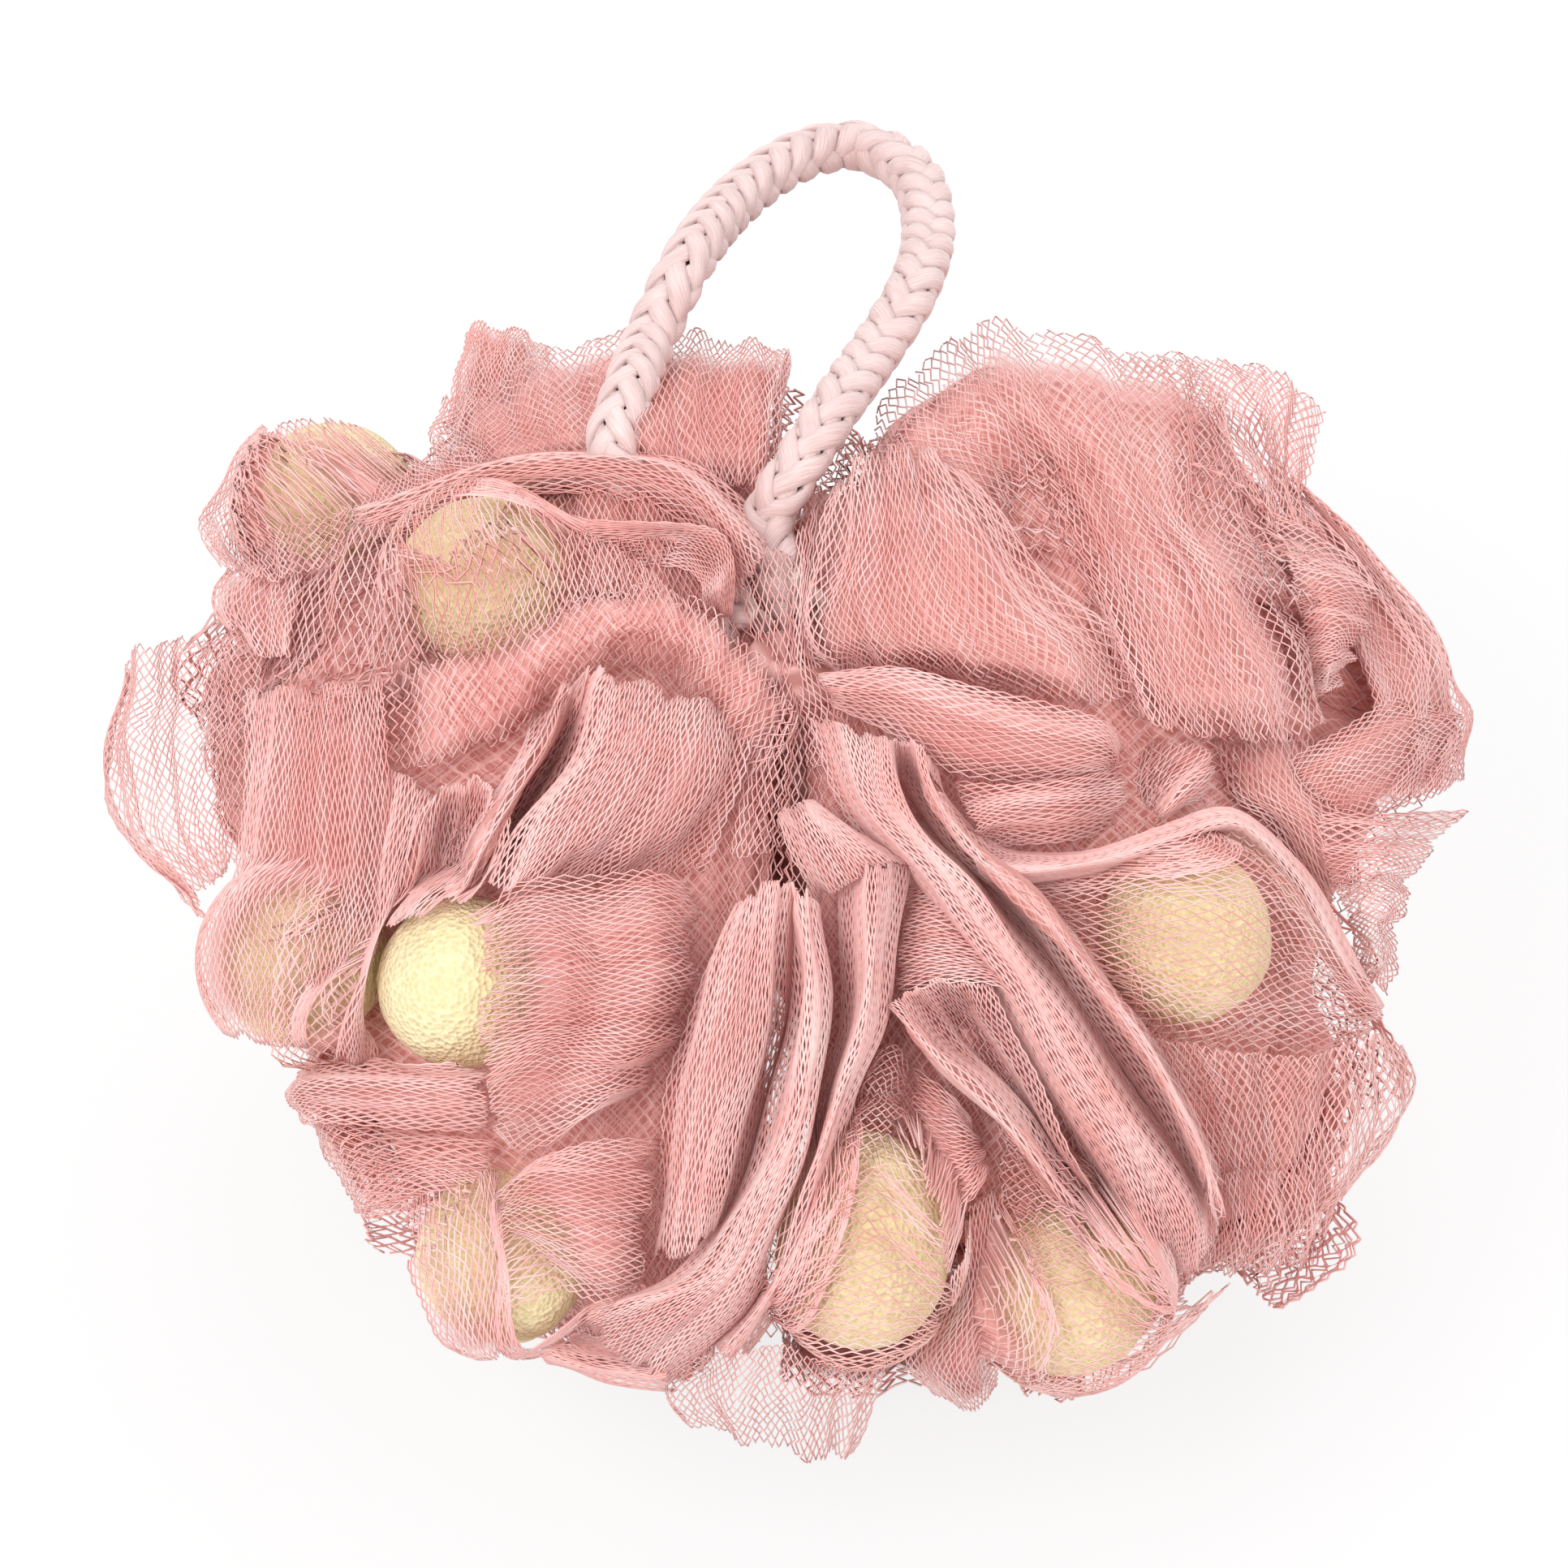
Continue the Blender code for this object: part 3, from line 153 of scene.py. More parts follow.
class Field:
    """A socket that shader maths is written with."""

    def __init__(self, tree, socket):
        self.tree, self.socket = tree, socket

    def of(self, operation, *others):
        node = self.tree.nodes.new("ShaderNodeMath")
        node.operation = operation
        for place, value in enumerate((self, *others)):
            if isinstance(value, Field):
                self.tree.links.new(value.socket, node.inputs[place])
            else:
                node.inputs[place].default_value = value
        return Field(self.tree, node.outputs[0])

    def __add__(self, other):
        return self.of('ADD', other)

    def __sub__(self, other):
        return self.of('SUBTRACT', other)

    def __mul__(self, other):
        return self.of('MULTIPLY', other)

    def __rsub__(self, other):
        return self * -1 + other

    def node(self, kind, output, inputs=None, **settings):
        """One other node, fed with this socket on its first input unless inputs say otherwise."""
        node = self.tree.nodes.new(kind)
        for label, value in settings.items():
            setattr(node, label, value)
        for place, value in (inputs or {0: self}).items():
            if isinstance(value, Field):
                self.tree.links.new(value.socket, node.inputs[place])
            else:
                node.inputs[place].default_value = value
        return Field(self.tree, node.outputs[output])

    def ramp(self, *stops):
        """Colour ramp through (place, colour) stops."""
        node = self.tree.nodes.new("ShaderNodeValToRGB")
        while len(node.color_ramp.elements) < len(stops):
            node.color_ramp.elements.new(0.5)
        for element, (place, colour) in zip(node.color_ramp.elements, stops):
            element.position, element.color = place, (*colour, 1)
        self.tree.links.new(self.socket, node.inputs[0])
        return Field(self.tree, node.outputs[0])


def new_material(name, **constants):
    """Principled material with its constants on the shader's own sockets: its tree's field and its shader."""
    material = bpy.data.materials.new(name)
    material.use_nodes = True
    tree = material.node_tree
    shader = tree.nodes["Principled BSDF"]
    for label, value in constants.items():
        shader.inputs[label.replace("_", " ")].default_value = value
    place = tree.nodes.new("ShaderNodeTexCoord")
    return material, Field(tree, place.outputs["Object"]), shader


def attribute(field, label, output=2):
    node = field.tree.nodes.new("ShaderNodeAttribute")
    node.attribute_name = label
    return Field(field.tree, node.outputs[output])


def attribute_pair(field, label):
    """The two parts of a mark that holds a place across and a place along."""
    across = attribute(field, label, 1).node("ShaderNodeSeparateXYZ", 0)
    return across, Field(across.tree, across.socket.node.outputs[1])


def feed(field, shader, label):
    field.tree.links.new(field.socket, shader.inputs[label])


KNOT_MIDDLE, KNOT_DIAMETER = spot((984, 836, -14.0)), 0.0135
route_points = spot(LOOP_ROUTE)
reach_out = KNOT_DIAMETER / 2 + 0.2 * CORD_DIAMETER + 0.0003
for end in (0, -1):
    route_points[end] = KNOT_MIDDLE + unit(route_points[end] - KNOT_MIDDLE) * reach_out
ROUTE_STEP = 0.00045
loop_route = smooth_route(route_points, ROUTE_STEP)
loop_length = np.linalg.norm(np.diff(loop_route, axis=0), axis=1).sum()
side, out = carried_frame(loop_route)
BRAID_PITCH, BRAID_MIDDLE, BRAID_WEAVE = 0.0188, 0.00225, 0.00042
BUNDLE_HALF_WIDE, BUNDLE_HALF_THICK, BUNDLE_SIDES, BUNDLE_PLUMP, BUNDLE_OFFSET = 0.00142, 0.00072, 7, 0.10, 0.37
run = np.linspace(0, loop_length, len(loop_route))
bundles, bundle_marks = [], []
for way in (1, -1):
    for number in range(4):
        shift = 0 if way > 0 else math.pi / 4
        twist = way * 2 * math.pi * run / BRAID_PITCH + number * math.pi / 2 + shift
        phase = math.pi * number - math.pi / 4 if way > 0 else math.pi + math.pi / 4 - math.pi * number
        weave = np.cos(4 * math.pi * run / BRAID_PITCH + phase - shift)
        rise = BRAID_MIDDLE + BRAID_WEAVE * weave
        spoke = np.cos(twist)[:, None] * side + np.sin(twist)[:, None] * out
        centre = loop_route + rise[:, None] * spoke
        tangent = unit(np.gradient(centre, axis=0))
        across = unit(np.cross(tangent, spoke))
        raised = np.cross(across, tangent)
        plump = 1 + BUNDLE_PLUMP * weave
        angle = 2 * math.pi * np.arange(BUNDLE_SIDES) / BUNDLE_SIDES
        ring = (centre[:, None] + plump[:, None, None] * (
            BUNDLE_HALF_WIDE * np.cos(angle)[None, :, None] * across[:, None]
            + BUNDLE_HALF_THICK * np.sin(angle)[None, :, None] * raised[:, None]))
        bundles.append(ring)
        bundle_marks.append(np.stack(np.broadcast_arrays(
            (np.arange(BUNDLE_SIDES) / BUNDLE_SIDES)[None, :],
            (run / BRAID_PITCH)[:, None] + BUNDLE_OFFSET * number), axis=-1))
quads, caps = tube_faces(8, len(loop_route), BUNDLE_SIDES)
loop = add_mesh("hanging_loop_braid", np.array(bundles).reshape(-1, 3), quads, caps,
                {"fibre": np.array(bundle_marks).reshape(-1, 2)})

braid_pink, place, shader = new_material("braid_pink", Roughness=0.62, Sheen_Weight=0.35, Sheen_Roughness=0.4)
around, lengthways = attribute_pair(place, "fibre")
threads = place.node("ShaderNodeCombineXYZ", 0, {0: around * 44, 1: lengthways * 9, 2: 0.0})
filament = threads.node("ShaderNodeTexNoise", 0, {0: threads, 2: 1.0, 3: 3.0})
cloud = place.node("ShaderNodeTexNoise", 0, {0: place, 2: 220.0, 3: 2.0})
feed((filament * 0.65 + cloud * 0.35).ramp((0.25, (0.62, 0.42, 0.40)), (0.55, (0.80, 0.61, 0.59)),
                                           (0.78, (0.90, 0.75, 0.73))), shader, "Base Color")
feed(filament.node("ShaderNodeBump", 0, {0: 0.45, 1: 0.0004, "Height": filament}), shader, "Normal")
loop.data.materials.append(braid_pink)
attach(loop, "root")
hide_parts("hanging_loop")

# Netting: tubes of net, knitted from pink plastic cords 0.24 mm thick in diamonds 2.7 mm long, folded into petals.
# A petal is rows of points, each given as pixel across, pixel down and height over the outline in mm. Its cords run
# from row to row, and sheets for the layers of the same net, their gaps in painted shade, lie up to 2 mm behind them.
# Sizes are in metres unless said.
CORD_RADIUS, CELL_LENGTH, LONG_CELL_SPACING = 0.00012, 0.0027, 0.0013
SWAY, WANDER, CELL_SHIFT, SHIFT_WAVE, SMALL_SHIFT_WAVE = 0.92, 0.16, 0.3, 0.0093, 0.0037
STRAND_WIDTH, HIDDEN_STRAND_WIDTH, HIDDEN_RADIUS, HIDDEN_SPACING = 0.00034, 0.00055, 1.6, 3.2
SHEET_STEP, SHEET_LONG_STEP, LAYER_INSET, VEIL_INSET, LAYER_FADE = 0.0018, 0.0024, 0.05, 0.01, 0.0045
LAYER_DEPTH, NEAREST_LAYER, FARTHEST_LAYER, VEIL_DEPTH, VEIL_SPACING = 0.045, 0.0004, 0.0020, 0.4, 1.1
LAYER_COVERS, VEIL_COVERS = 0.7, 0.96
WRINKLE, WRINKLE_WIDTH, BROAD_WAVE, FINE_WAVE, SLOW_WAVE, SLOW_SIDE_WAVE = 0.0009, 0.03, 0.0085, 0.0041, 0.021, 0.034
OUTLINE_SHARE, FLOOR_ROUND, OVER_BALL, BALL_GAP, BALL_RIM = 0.96, 0.006, 0.0022, 0.0003, 0.25
BALL_RADIUS, BLOCK_STRETCH = 0.0105, 13 / 10.5
BLOCK_BALL, COVERED_BALL, BALLS_SEEN = 8, 4, 8
ball_places = [np.array(sum(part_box(f"foam_ball_{number:02d}"), Vector()) / 2) for number in range(1, 13)]
OUTLINE = [(1815, 890), (1800, 1000), (1725, 1130), (1705, 1240), (1740, 1320), (1695, 1450), (1632, 1540),
           (1500, 1590), (1410, 1672), (1310, 1690), (1195, 1728), (1050, 1778), (905, 1762), (830, 1700),
           (670, 1650), (600, 1620), (555, 1500), (445, 1480), (372, 1360), (385, 1290), (300, 1240), (278, 1160),
           (200, 1060), (130, 980), (160, 800), (245, 700), (300, 540), (440, 590), (530, 530), (570, 400),
           (800, 408), (970, 425), (1080, 480), (1237, 388), (1400, 420), (1630, 490), (1640, 600), (1760, 760)]
outline_right, outline_high = ((np.array(OUTLINE) - (DRAWN_MIDDLE_X, DRAWN_MIDDLE_Y)) * (PIXEL, -PIXEL)).T
outline_way, outline_reach = np.arctan2(outline_high, outline_right), np.hypot(outline_right, outline_high)


def drawn_in(points):
    """Points brought in at their own height where they would show beyond the photograph's outline."""
    rel = points - MIDDLE
    right, high = rel[..., 0], rel @ PICTURE_UP
    way = np.arctan2(high, right)
    round_reach = 1 / np.hypot(np.cos(way) / HALF_WIDE, np.sin(way) / PICTURE_TALL)
    seen = np.interp(way, outline_way, outline_reach, period=2 * math.pi)
    pull = np.minimum(1, OUTLINE_SHARE * seen / round_reach) - 1
    return points + np.stack([pull * right, pull * high / RISE, 0 * pull], axis=-1)


def over_balls(points, gap):
    """Points moved out where they would lie in a foam ball, so that the net is drawn over it."""
    for number, centre in enumerate(ball_places, 1):
        out = unit(centre - MIDDLE)
        rel = points - centre
        if number == BLOCK_BALL:
            rel = rel - (1 - 1 / BLOCK_STRETCH) * (rel @ PICTURE_UP)[..., None] * PICTURE_UP
        height = rel @ out
        beside = np.linalg.norm(rel - height[..., None] * out, axis=-1)
        size = BALL_RADIUS + BALL_GAP + gap
        cap = np.sqrt(np.clip(size ** 2 - beside ** 2, 0, None))
        lifted = (beside < size) & (height > -0.5 * size) & (height < cap)
        points = points + np.where(lifted, cap - height, 0)[..., None] * out
    return points


def over_foam(points):
    """1 where points lie just over a foam ball that shows through the net, falling to 0 at its rim."""
    found = np.zeros(len(points))
    for centre in np.delete(ball_places[:BALLS_SEEN], COVERED_BALL - 1, axis=0):
        rel = points - centre
        height = rel @ TO_EYE
        beside = np.linalg.norm(rel - height[:, None] * TO_EYE, axis=-1)
        found = np.maximum(found, np.clip((1.0 - beside / BALL_RADIUS) / BALL_RIM, 0, 1) * (height > 0))
    return found


def patch(grid, u, v):
    """Points at (u, v), each 0 to 1, of the smooth surface through a grid: u across columns, v down rows."""
    def blended(t, count):
        place = np.clip(t, 0, 1) * (count - 1)
        first = np.minimum(place.astype(int), count - 2)
        s = place - first
        return first, 0.5 * np.stack([-s + 2 * s ** 2 - s ** 3, 2 - 5 * s ** 2 + 3 * s ** 3,
                                      s + 4 * s ** 2 - 3 * s ** 3, s ** 3 - s ** 2])
    tall = np.concatenate([2 * grid[:1] - grid[1:2], grid, 2 * grid[-1:] - grid[-2:-1]])
    wide = np.concatenate([2 * tall[:, :1] - tall[:, 1:2], tall, 2 * tall[:, -1:] - tall[:, -2:-1]], axis=1)
    row, row_share = blended(v, grid.shape[0])
    column, column_share = blended(u, grid.shape[1])
    return sum((row_share[a] * column_share[b])[..., None] * wide[row + a, column + b]
               for a in range(4) for b in range(4))


def petal_size(grid):
    """Mean width across the columns and mean length down the rows."""
    return (np.linalg.norm(np.diff(grid, axis=1), axis=-1).sum(axis=1).mean(),
            np.linalg.norm(np.diff(grid, axis=0), axis=-1).sum(axis=0).mean())


def crumpled(grid, u, v, lift, seed, outer):
    """The patch, moved out by a lift and by wrinkles that run along it, and which way it faces there."""
    wide, long = petal_size(grid)
    turn = np.random.default_rng(seed).uniform(0, 2 * math.pi, 6)
    faces = unit(np.cross(patch(grid, u + 0.01, v) - patch(grid, u - 0.01, v),
                          patch(grid, u, v + 0.01) - patch(grid, u, v - 0.01)))
    facing = np.cross(np.diff(grid, axis=1)[:-1], np.diff(grid, axis=0)[:, :-1]).sum(axis=(0, 1))
    faces = faces * (1 if np.dot(facing, grid.mean(axis=(0, 1)) - MIDDLE) > 0 else -1)
    broad = np.sin(2 * math.pi * u * wide / BROAD_WAVE + 0.9 * np.sin(2 * math.pi * v * 0.8 + turn[0]) + turn[1])
    fine = np.sin(2 * math.pi * u * wide / FINE_WAVE + 0.8 * np.sin(2 * math.pi * v * 1.3 + turn[2]) + turn[3])
    slow = np.sin(2 * math.pi * (v * long / SLOW_WAVE + u * wide / SLOW_SIDE_WAVE) + turn[4])
    height = WRINKLE * min(1, wide / WRINKLE_WIDTH) * (0.55 * broad + 0.28 * fine + 0.45 * slow)
    points = patch(grid, u, v) + (lift + height)[..., None] * faces
    return (over_balls(points, np.clip(lift + OVER_BALL, 0, None)) if outer else points), faces


def net_cords(grid, spacing, seed, points_per_cell, radius, settle, outer):
    """Cords of one petal: each is a closed tube, a cosine that touches its two neighbours in turn."""
    wide, long = petal_size(grid)
    count = max(4, round(wide / spacing))
    cells = max(2, round(long / CELL_LENGTH / max(1, spacing / LONG_CELL_SPACING)))
    dice = np.random.default_rng(seed + 100)
    number = np.arange(count)[:, None]
    even = np.linspace(0, 1, cells * points_per_cell + 1)[None, :] + 0 * number
    shift = (np.sin(2 * math.pi * (number * spacing / SHIFT_WAVE + dice.uniform()))
             + 0.7 * np.sin(2 * math.pi * (number * spacing / SMALL_SHIFT_WAVE + dice.uniform()))) * CELL_SHIFT / cells
    v = np.clip(even + shift, 0, 1)
    wander = WANDER * np.sin(2 * math.pi * (v * dice.uniform(0.6, 1.8, (count, 1))
                                            + dice.uniform(0, 1, (count, 1))))
    sway = 0.5 * SWAY * np.cos(2 * math.pi * cells * even + math.pi * number)
    u = (number + 0.5 + sway + wander) / count
    paths, faces = crumpled(grid, u, v, np.zeros(u.shape), seed, outer)
    paths = settle(paths)
    ahead = unit(np.gradient(paths, axis=1))
    beside = unit(np.cross(ahead, faces))
    above = np.cross(beside, ahead)
    angle = np.radians([90, 210, 330])
    ring = paths[:, :, None] + radius * (np.sin(angle)[:, None] * above[:, :, None]
                                         + np.cos(angle)[:, None] * beside[:, :, None])
    quads, caps = tube_faces(count, v.shape[1], len(angle))
    tone = np.repeat(dice.uniform(0, 1, count), v.shape[1] * len(angle))
    return ring.reshape(-1, 3), quads, caps, tone


def net_layer(grid, spacing, lift, seed, inset, settle, outer):
    """Sheet for the layers of net behind a petal, its gaps in painted shade, marked with its place on the net and its
    edge.
    """
    wide, long = petal_size(grid)
    across, down = max(8, round(wide / SHEET_STEP)), max(8, round(long / SHEET_LONG_STEP))
    u, v = np.meshgrid(np.linspace(inset, 1 - inset, across + 1), np.linspace(inset, 1 - inset, down + 1))
    points = settle(crumpled(grid, u, v, np.full(u.shape, lift), seed, outer)[0])
    first = (np.arange(down)[:, None] * (across + 1) + np.arange(across)[None, :]).reshape(-1, 1)
    quads = first + np.array([0, 1, across + 2, across + 1])
    border = np.minimum(np.minimum(u - inset, 1 - inset - u) * wide, np.minimum(v - inset, 1 - inset - v) * long)
    edge = np.clip(1 - border / min(LAYER_FADE, 0.16 * min(wide, long)), 0, 1) * outer
    cell = CELL_LENGTH * max(1, spacing / LONG_CELL_SPACING)
    knit = np.stack([u * wide / spacing, v * long / cell, edge], axis=-1)
    return points.reshape(-1, 3), quads, knit.reshape(-1, 3)


def joined(parts):
    """One set of arrays from several: points, faces of each kind and marks."""
    points = np.concatenate([part[0] for part in parts])
    starts = np.cumsum([0] + [len(part[0]) for part in parts[:-1]])
    faces = [np.concatenate([part[kind] + start for part, start in zip(parts, starts)])
             for kind in range(1, len(parts[0]) - 1)]
    return points, *faces, np.concatenate([part[-1] for part in parts])


def knitted(across, down, width):
    """1 on a cord of the net and 0 in its gaps: each cord swings about its own line by half a diamond."""
    line = across.of('FLOOR')
    swing = (down * (2 * math.pi) + line * math.pi).of('COSINE') * 0.42 + 0.5
    return ((across - line) - swing).of('ABSOLUTE').of('LESS_THAN', width)


def clouded(place, scale):
    return place.node("ShaderNodeTexNoise", 0, {0: place, 2: scale, 3: 2.0})


net_cord_pink, place, shader = new_material("net_cord_pink", Roughness=0.45, Specular_IOR_Level=0.3)
tone = attribute(place, "tone") * 0.35 + clouded(place, 90.0) * 0.65
feed(tone.ramp((0.25, (0.91, 0.44, 0.41)), (0.5, (0.95, 0.56, 0.53)), (0.75, (0.98, 0.70, 0.67))),
     shader, "Base Color")

# Layers behind the cords: the net's gaps are painted dark red-pink as painted shade of the deeper layers, and the
# cords lighter.
net_layers_painted_shade, place, shader = new_material("net_layers_painted_shade", Roughness=0.5)
across, down = attribute_pair(place, "net")
cords_and_gap_shade = (knitted(across, down, 0.16) * 0.5 + knitted(across * 1.31 + 0.4, down * 1.17 + 0.3, 0.2) * 0.3
        + knitted(across * 0.83 + 0.7, down * 0.9 + 0.6, 0.22) * 0.2)
feed((cords_and_gap_shade * 0.8 + clouded(place, 60.0) * 0.2).ramp((0.05, (0.58, 0.20, 0.17)), (0.4, (0.82, 0.40, 0.37)),
                                                    (0.8, (0.95, 0.58, 0.55))), shader, "Base Color")
feed(cords_and_gap_shade.node("ShaderNodeBump", 0, {0: 0.6, 1: 0.0006, "Height": cords_and_gap_shade}), shader, "Normal")

# The same layers where they open over a ball or fade at an edge: their darker gaps are painted shade here too.
net_open_pink, place, shader = new_material("net_open_pink", Roughness=0.42)
front = knitted(*attribute_pair(place, "net"), 0.13)
feed((front * 0.7 + clouded(place, 60.0) * 0.3).ramp((0.15, (0.80, 0.38, 0.35)), (0.7, (0.95, 0.58, 0.55))),
     shader, "Base Color")
feed(1 - (1 - front * 0.75) * attribute(place, "opened"), shader, "Alpha")

net_veil_pink, place, shader = new_material("net_veil_pink", Roughness=0.4)
feed(clouded(place, 90.0).ramp((0.3, (0.88, 0.44, 0.41)), (0.7, (0.93, 0.54, 0.51))), shader, "Base Color")
feed(knitted(*attribute_pair(place, "net"), 0.15), shader, "Alpha")

# Distance between a petal's cords in mm, and the petals whose cords run across their rows, need more points, lie
# under the foam balls, have a see-through veil, and have no layers behind them.
USUAL_SPACING = 0.5
SPACING = {
    "rail": 0.25, "apron": 0.26, "runner": 0.27, "runner_twin": 0.27, "sash": 0.28, "stole": 0.28, "scroll": 0.28,
    "curl_high": 0.28, "trumpet": 0.3, "scroll_top": 0.3, "cut_flap": 0.3, "hem_left": 0.3, "swag": 0.32, "arch": 0.33,
    "curtain": 0.35, "pleat_between": 0.35, "post": 0.35, "nook": 0.35, "pouch": 0.36, "cushion": 0.4, "shelf": 0.4,
    "shelf_under": 0.4, "back_tuft": 0.4, "corner_low": 0.4, "roll_low": 0.42, "fan": 0.42, "tongue": 0.48,
    "sponge_cover": 0.52, "fringe_left": 0.55, "skirt": 0.55, "skirt_low": 0.55, "sponge_corner": 0.58,
    "sponge_drop": 0.6, "lobe_behind": 0.6, "fringe_high": 0.6, "gully": 0.6, "great_lobe": 0.68, "wide_sheet": 0.72,
    "inner": 1.15}
TURNED = ("foot", "fringe_left", "crest_lobe", "collar", "pouch", "sponge_drop", "sponge_corner")
ROUNDED = ("wide_sheet", "gully")
UNDER_BALLS = ("inner", "gully", "collar_back")
VEILED = ("fringe_high", "lobe_behind", "skirt", "skirt_low", "fringe_right", "ruffle_low")
BARE = ("gully", "fringe_left", "fringe_high", "lobe_behind", "skirt_low", "skirt", "foot", "ruffle_low",
        "sponge_drop", "sponge_corner", "sponge_veil", "sponge_cover", "fringe_right")


def grids(petals):
    """Grid of points of each petal, from its rows of numbers, three to a point."""
    return {label: spot(np.array(rows, float).reshape(len(rows), -1, 3)) for label, rows in petals.items()}


def net_pieces(name, petals, hidden=False):
    """Cords of several petals, each a grid, as one piece, and the veils and layers behind them as two more."""
    def settle(points):
        points = drawn_in(points) if hidden else points.copy()
        over = points[..., 2] - FLOOR_ROUND
        points[..., 2] = np.where(over < 0, FLOOR_ROUND * np.exp(np.minimum(over, 0) / FLOOR_ROUND), points[..., 2])
        return points
    strand, radius = (HIDDEN_STRAND_WIDTH, CORD_RADIUS * HIDDEN_RADIUS) if hidden else (STRAND_WIDTH, CORD_RADIUS)
    cords, veils, layers, flat, covered, veiled, backed = [], [], [], 0.0, 0.0, 0.0, 0.0
    for label, grid in petals.items():
        if label in TURNED:
            grid = grid.swapaxes(0, 1)
        spacing = SPACING.get(label, USUAL_SPACING) * 0.001 * (HIDDEN_SPACING if hidden else 1.0)
        wide, long = petal_size(grid)
        behind = -np.clip(LAYER_DEPTH * min(wide, long), NEAREST_LAYER, FARTHEST_LAYER)
        seed = sum(map(ord, label)) + (500 if hidden else 0)
        flat += wide * long
        covered += wide * long * min(0.95, max(0.32, strand / spacing))
        outer = label not in UNDER_BALLS
        points_per_cell = 4 if label in ROUNDED and not hidden else 2
        cords.append(net_cords(grid, spacing, seed, points_per_cell, radius, settle, outer))
        if label in VEILED:
            veils.append(net_layer(grid, spacing * VEIL_SPACING, VEIL_DEPTH * behind, seed, VEIL_INSET, settle, outer))
            veiled += wide * long * VEIL_COVERS
        if label not in BARE:
            layers.append(net_layer(grid, spacing, behind, seed, LAYER_INSET, settle, outer))
            backed += wide * long * LAYER_COVERS
    points, quads, caps, tone = joined(cords)
    piece = add_mesh(name, points, quads, caps, {"tone": tone})
    piece.data.materials.append(net_cord_pink)
    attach(piece, "root")
    for label, sheets, material, area in (("_veil", veils, net_veil_pink, veiled),
                                          ("_layers", layers, net_layers_painted_shade, backed)):
        if not sheets:
            continue
        points, quads, knit = joined(sheets)
        opened = np.maximum(over_foam(points), knit[:, 2])
        backing = add_mesh(name + label, points, quads, (), {"net": knit[:, :2], "opened": opened})
        backing.data.materials.append(material)
        if label == "_layers":
            backing.data.materials.append(net_open_pink)
            backing.data.polygons.foreach_set("material_index", (opened[quads].max(axis=1) > 0).astype(np.int32))
        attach(backing, "root")


# Inner sheets of both halves: net behind the front's folds, of which only dark bits show between them, with the
# open curls of the gully between the halves.
inner_left = grids({
    "inner": [
      [975,470,-16, 880,480,-9, 780,470,-8, 680,470,-8, 600,490,-9],
      [975,600,-16, 880,590,-10, 760,580,-8, 620,590,-7, 480,610,-9],
      [975,720,-15, 880,710,-9, 740,700,-7, 540,700,-7, 360,720,-9],
      [975,850,-15, 900,840,-10, 760,830,-7, 540,840,-7, 270,850,-11],
      [975,990,-15, 905,980,-10, 760,980,-7, 540,990,-7, 300,1000,-11],
      [975,1130,-15, 900,1120,-10, 760,1120,-7, 560,1120,-7, 360,1120,-11],
      [975,1270,-15, 900,1270,-10, 780,1270,-7, 620,1270,-7, 400,1260,-10],
      [975,1400,-15, 890,1400,-10, 780,1400,-7, 640,1400,-7, 420,1390,-10],
      [975,1520,-14, 880,1520,-9, 790,1520,-7, 690,1520,-7, 570,1500,-10],
      [975,1640,-12, 880,1640,-9, 800,1630,-8, 720,1610,-8, 640,1600,-11]],
})
gully_left = grids({
    "gully": [
      [905,640,-9, 940,668,-5, 975,690,-8],
      [915,740,-9, 950,745,-6, 985,750,-9],
      [935,820,-9, 962,830,-7, 992,835,-9],
      [930,900,-9, 958,905,-7, 990,905,-10],
      [915,980,-9, 945,985,-8, 985,980,-11],
      [900,1060,-9, 930,1050,-7, 975,1050,-11]],
    "collar_back": [
      [470,640,-9, 590,605,-6, 690,592,-5, 780,600,-4, 870,632,-6],
      [480,690,-10, 590,665,-7, 690,655,-5, 790,665,-4, 885,700,-7],
      [490,760,-11, 600,740,-8, 700,735,-7, 800,740,-7, 905,765,-9]],
})
inner_right = grids({
    "inner": [
      [962,560,-15, 1080,540,-10, 1200,520,-8, 1350,500,-8, 1480,520,-9],
      [962,680,-15, 1080,660,-10, 1220,650,-8, 1400,650,-6, 1630,650,-7],
      [962,800,-15, 1080,790,-9, 1240,790,-7, 1450,790,-6, 1760,780,-9],
      [962,930,-15, 1080,930,-9, 1240,930,-7, 1460,930,-6, 1785,930,-9],
      [962,1060,-15, 1080,1060,-9, 1240,1060,-7, 1450,1060,-6, 1700,1060,-7],
      [962,1190,-15, 1080,1190,-9, 1230,1190,-7, 1420,1190,-7, 1640,1190,-9],
      [962,1320,-15, 1080,1320,-9, 1220,1320,-7, 1380,1320,-7, 1600,1310,-9],
      [962,1450,-14, 1070,1450,-8, 1200,1450,-7, 1340,1450,-7, 1530,1430,-9],
      [962,1580,-12, 1060,1580,-8, 1170,1580,-7, 1290,1570,-8, 1430,1540,-10]],
})
tangle_right = grids({
    "gully": [
      [1010,620,-9, 985,650,-8, 965,690,-12],
      [1000,720,-8, 985,740,-7, 970,760,-11],
      [1000,800,-9, 988,820,-7, 975,840,-10],
      [1042,870,-8, 1016,882,-6, 990,895,-9],
      [1046,930,-9, 1022,940,-8, 996,950,-11]],
})
net_pieces("net_left_inner", {**inner_left, **gully_left})
net_pieces("net_right_inner", {**inner_right, **tangle_right})

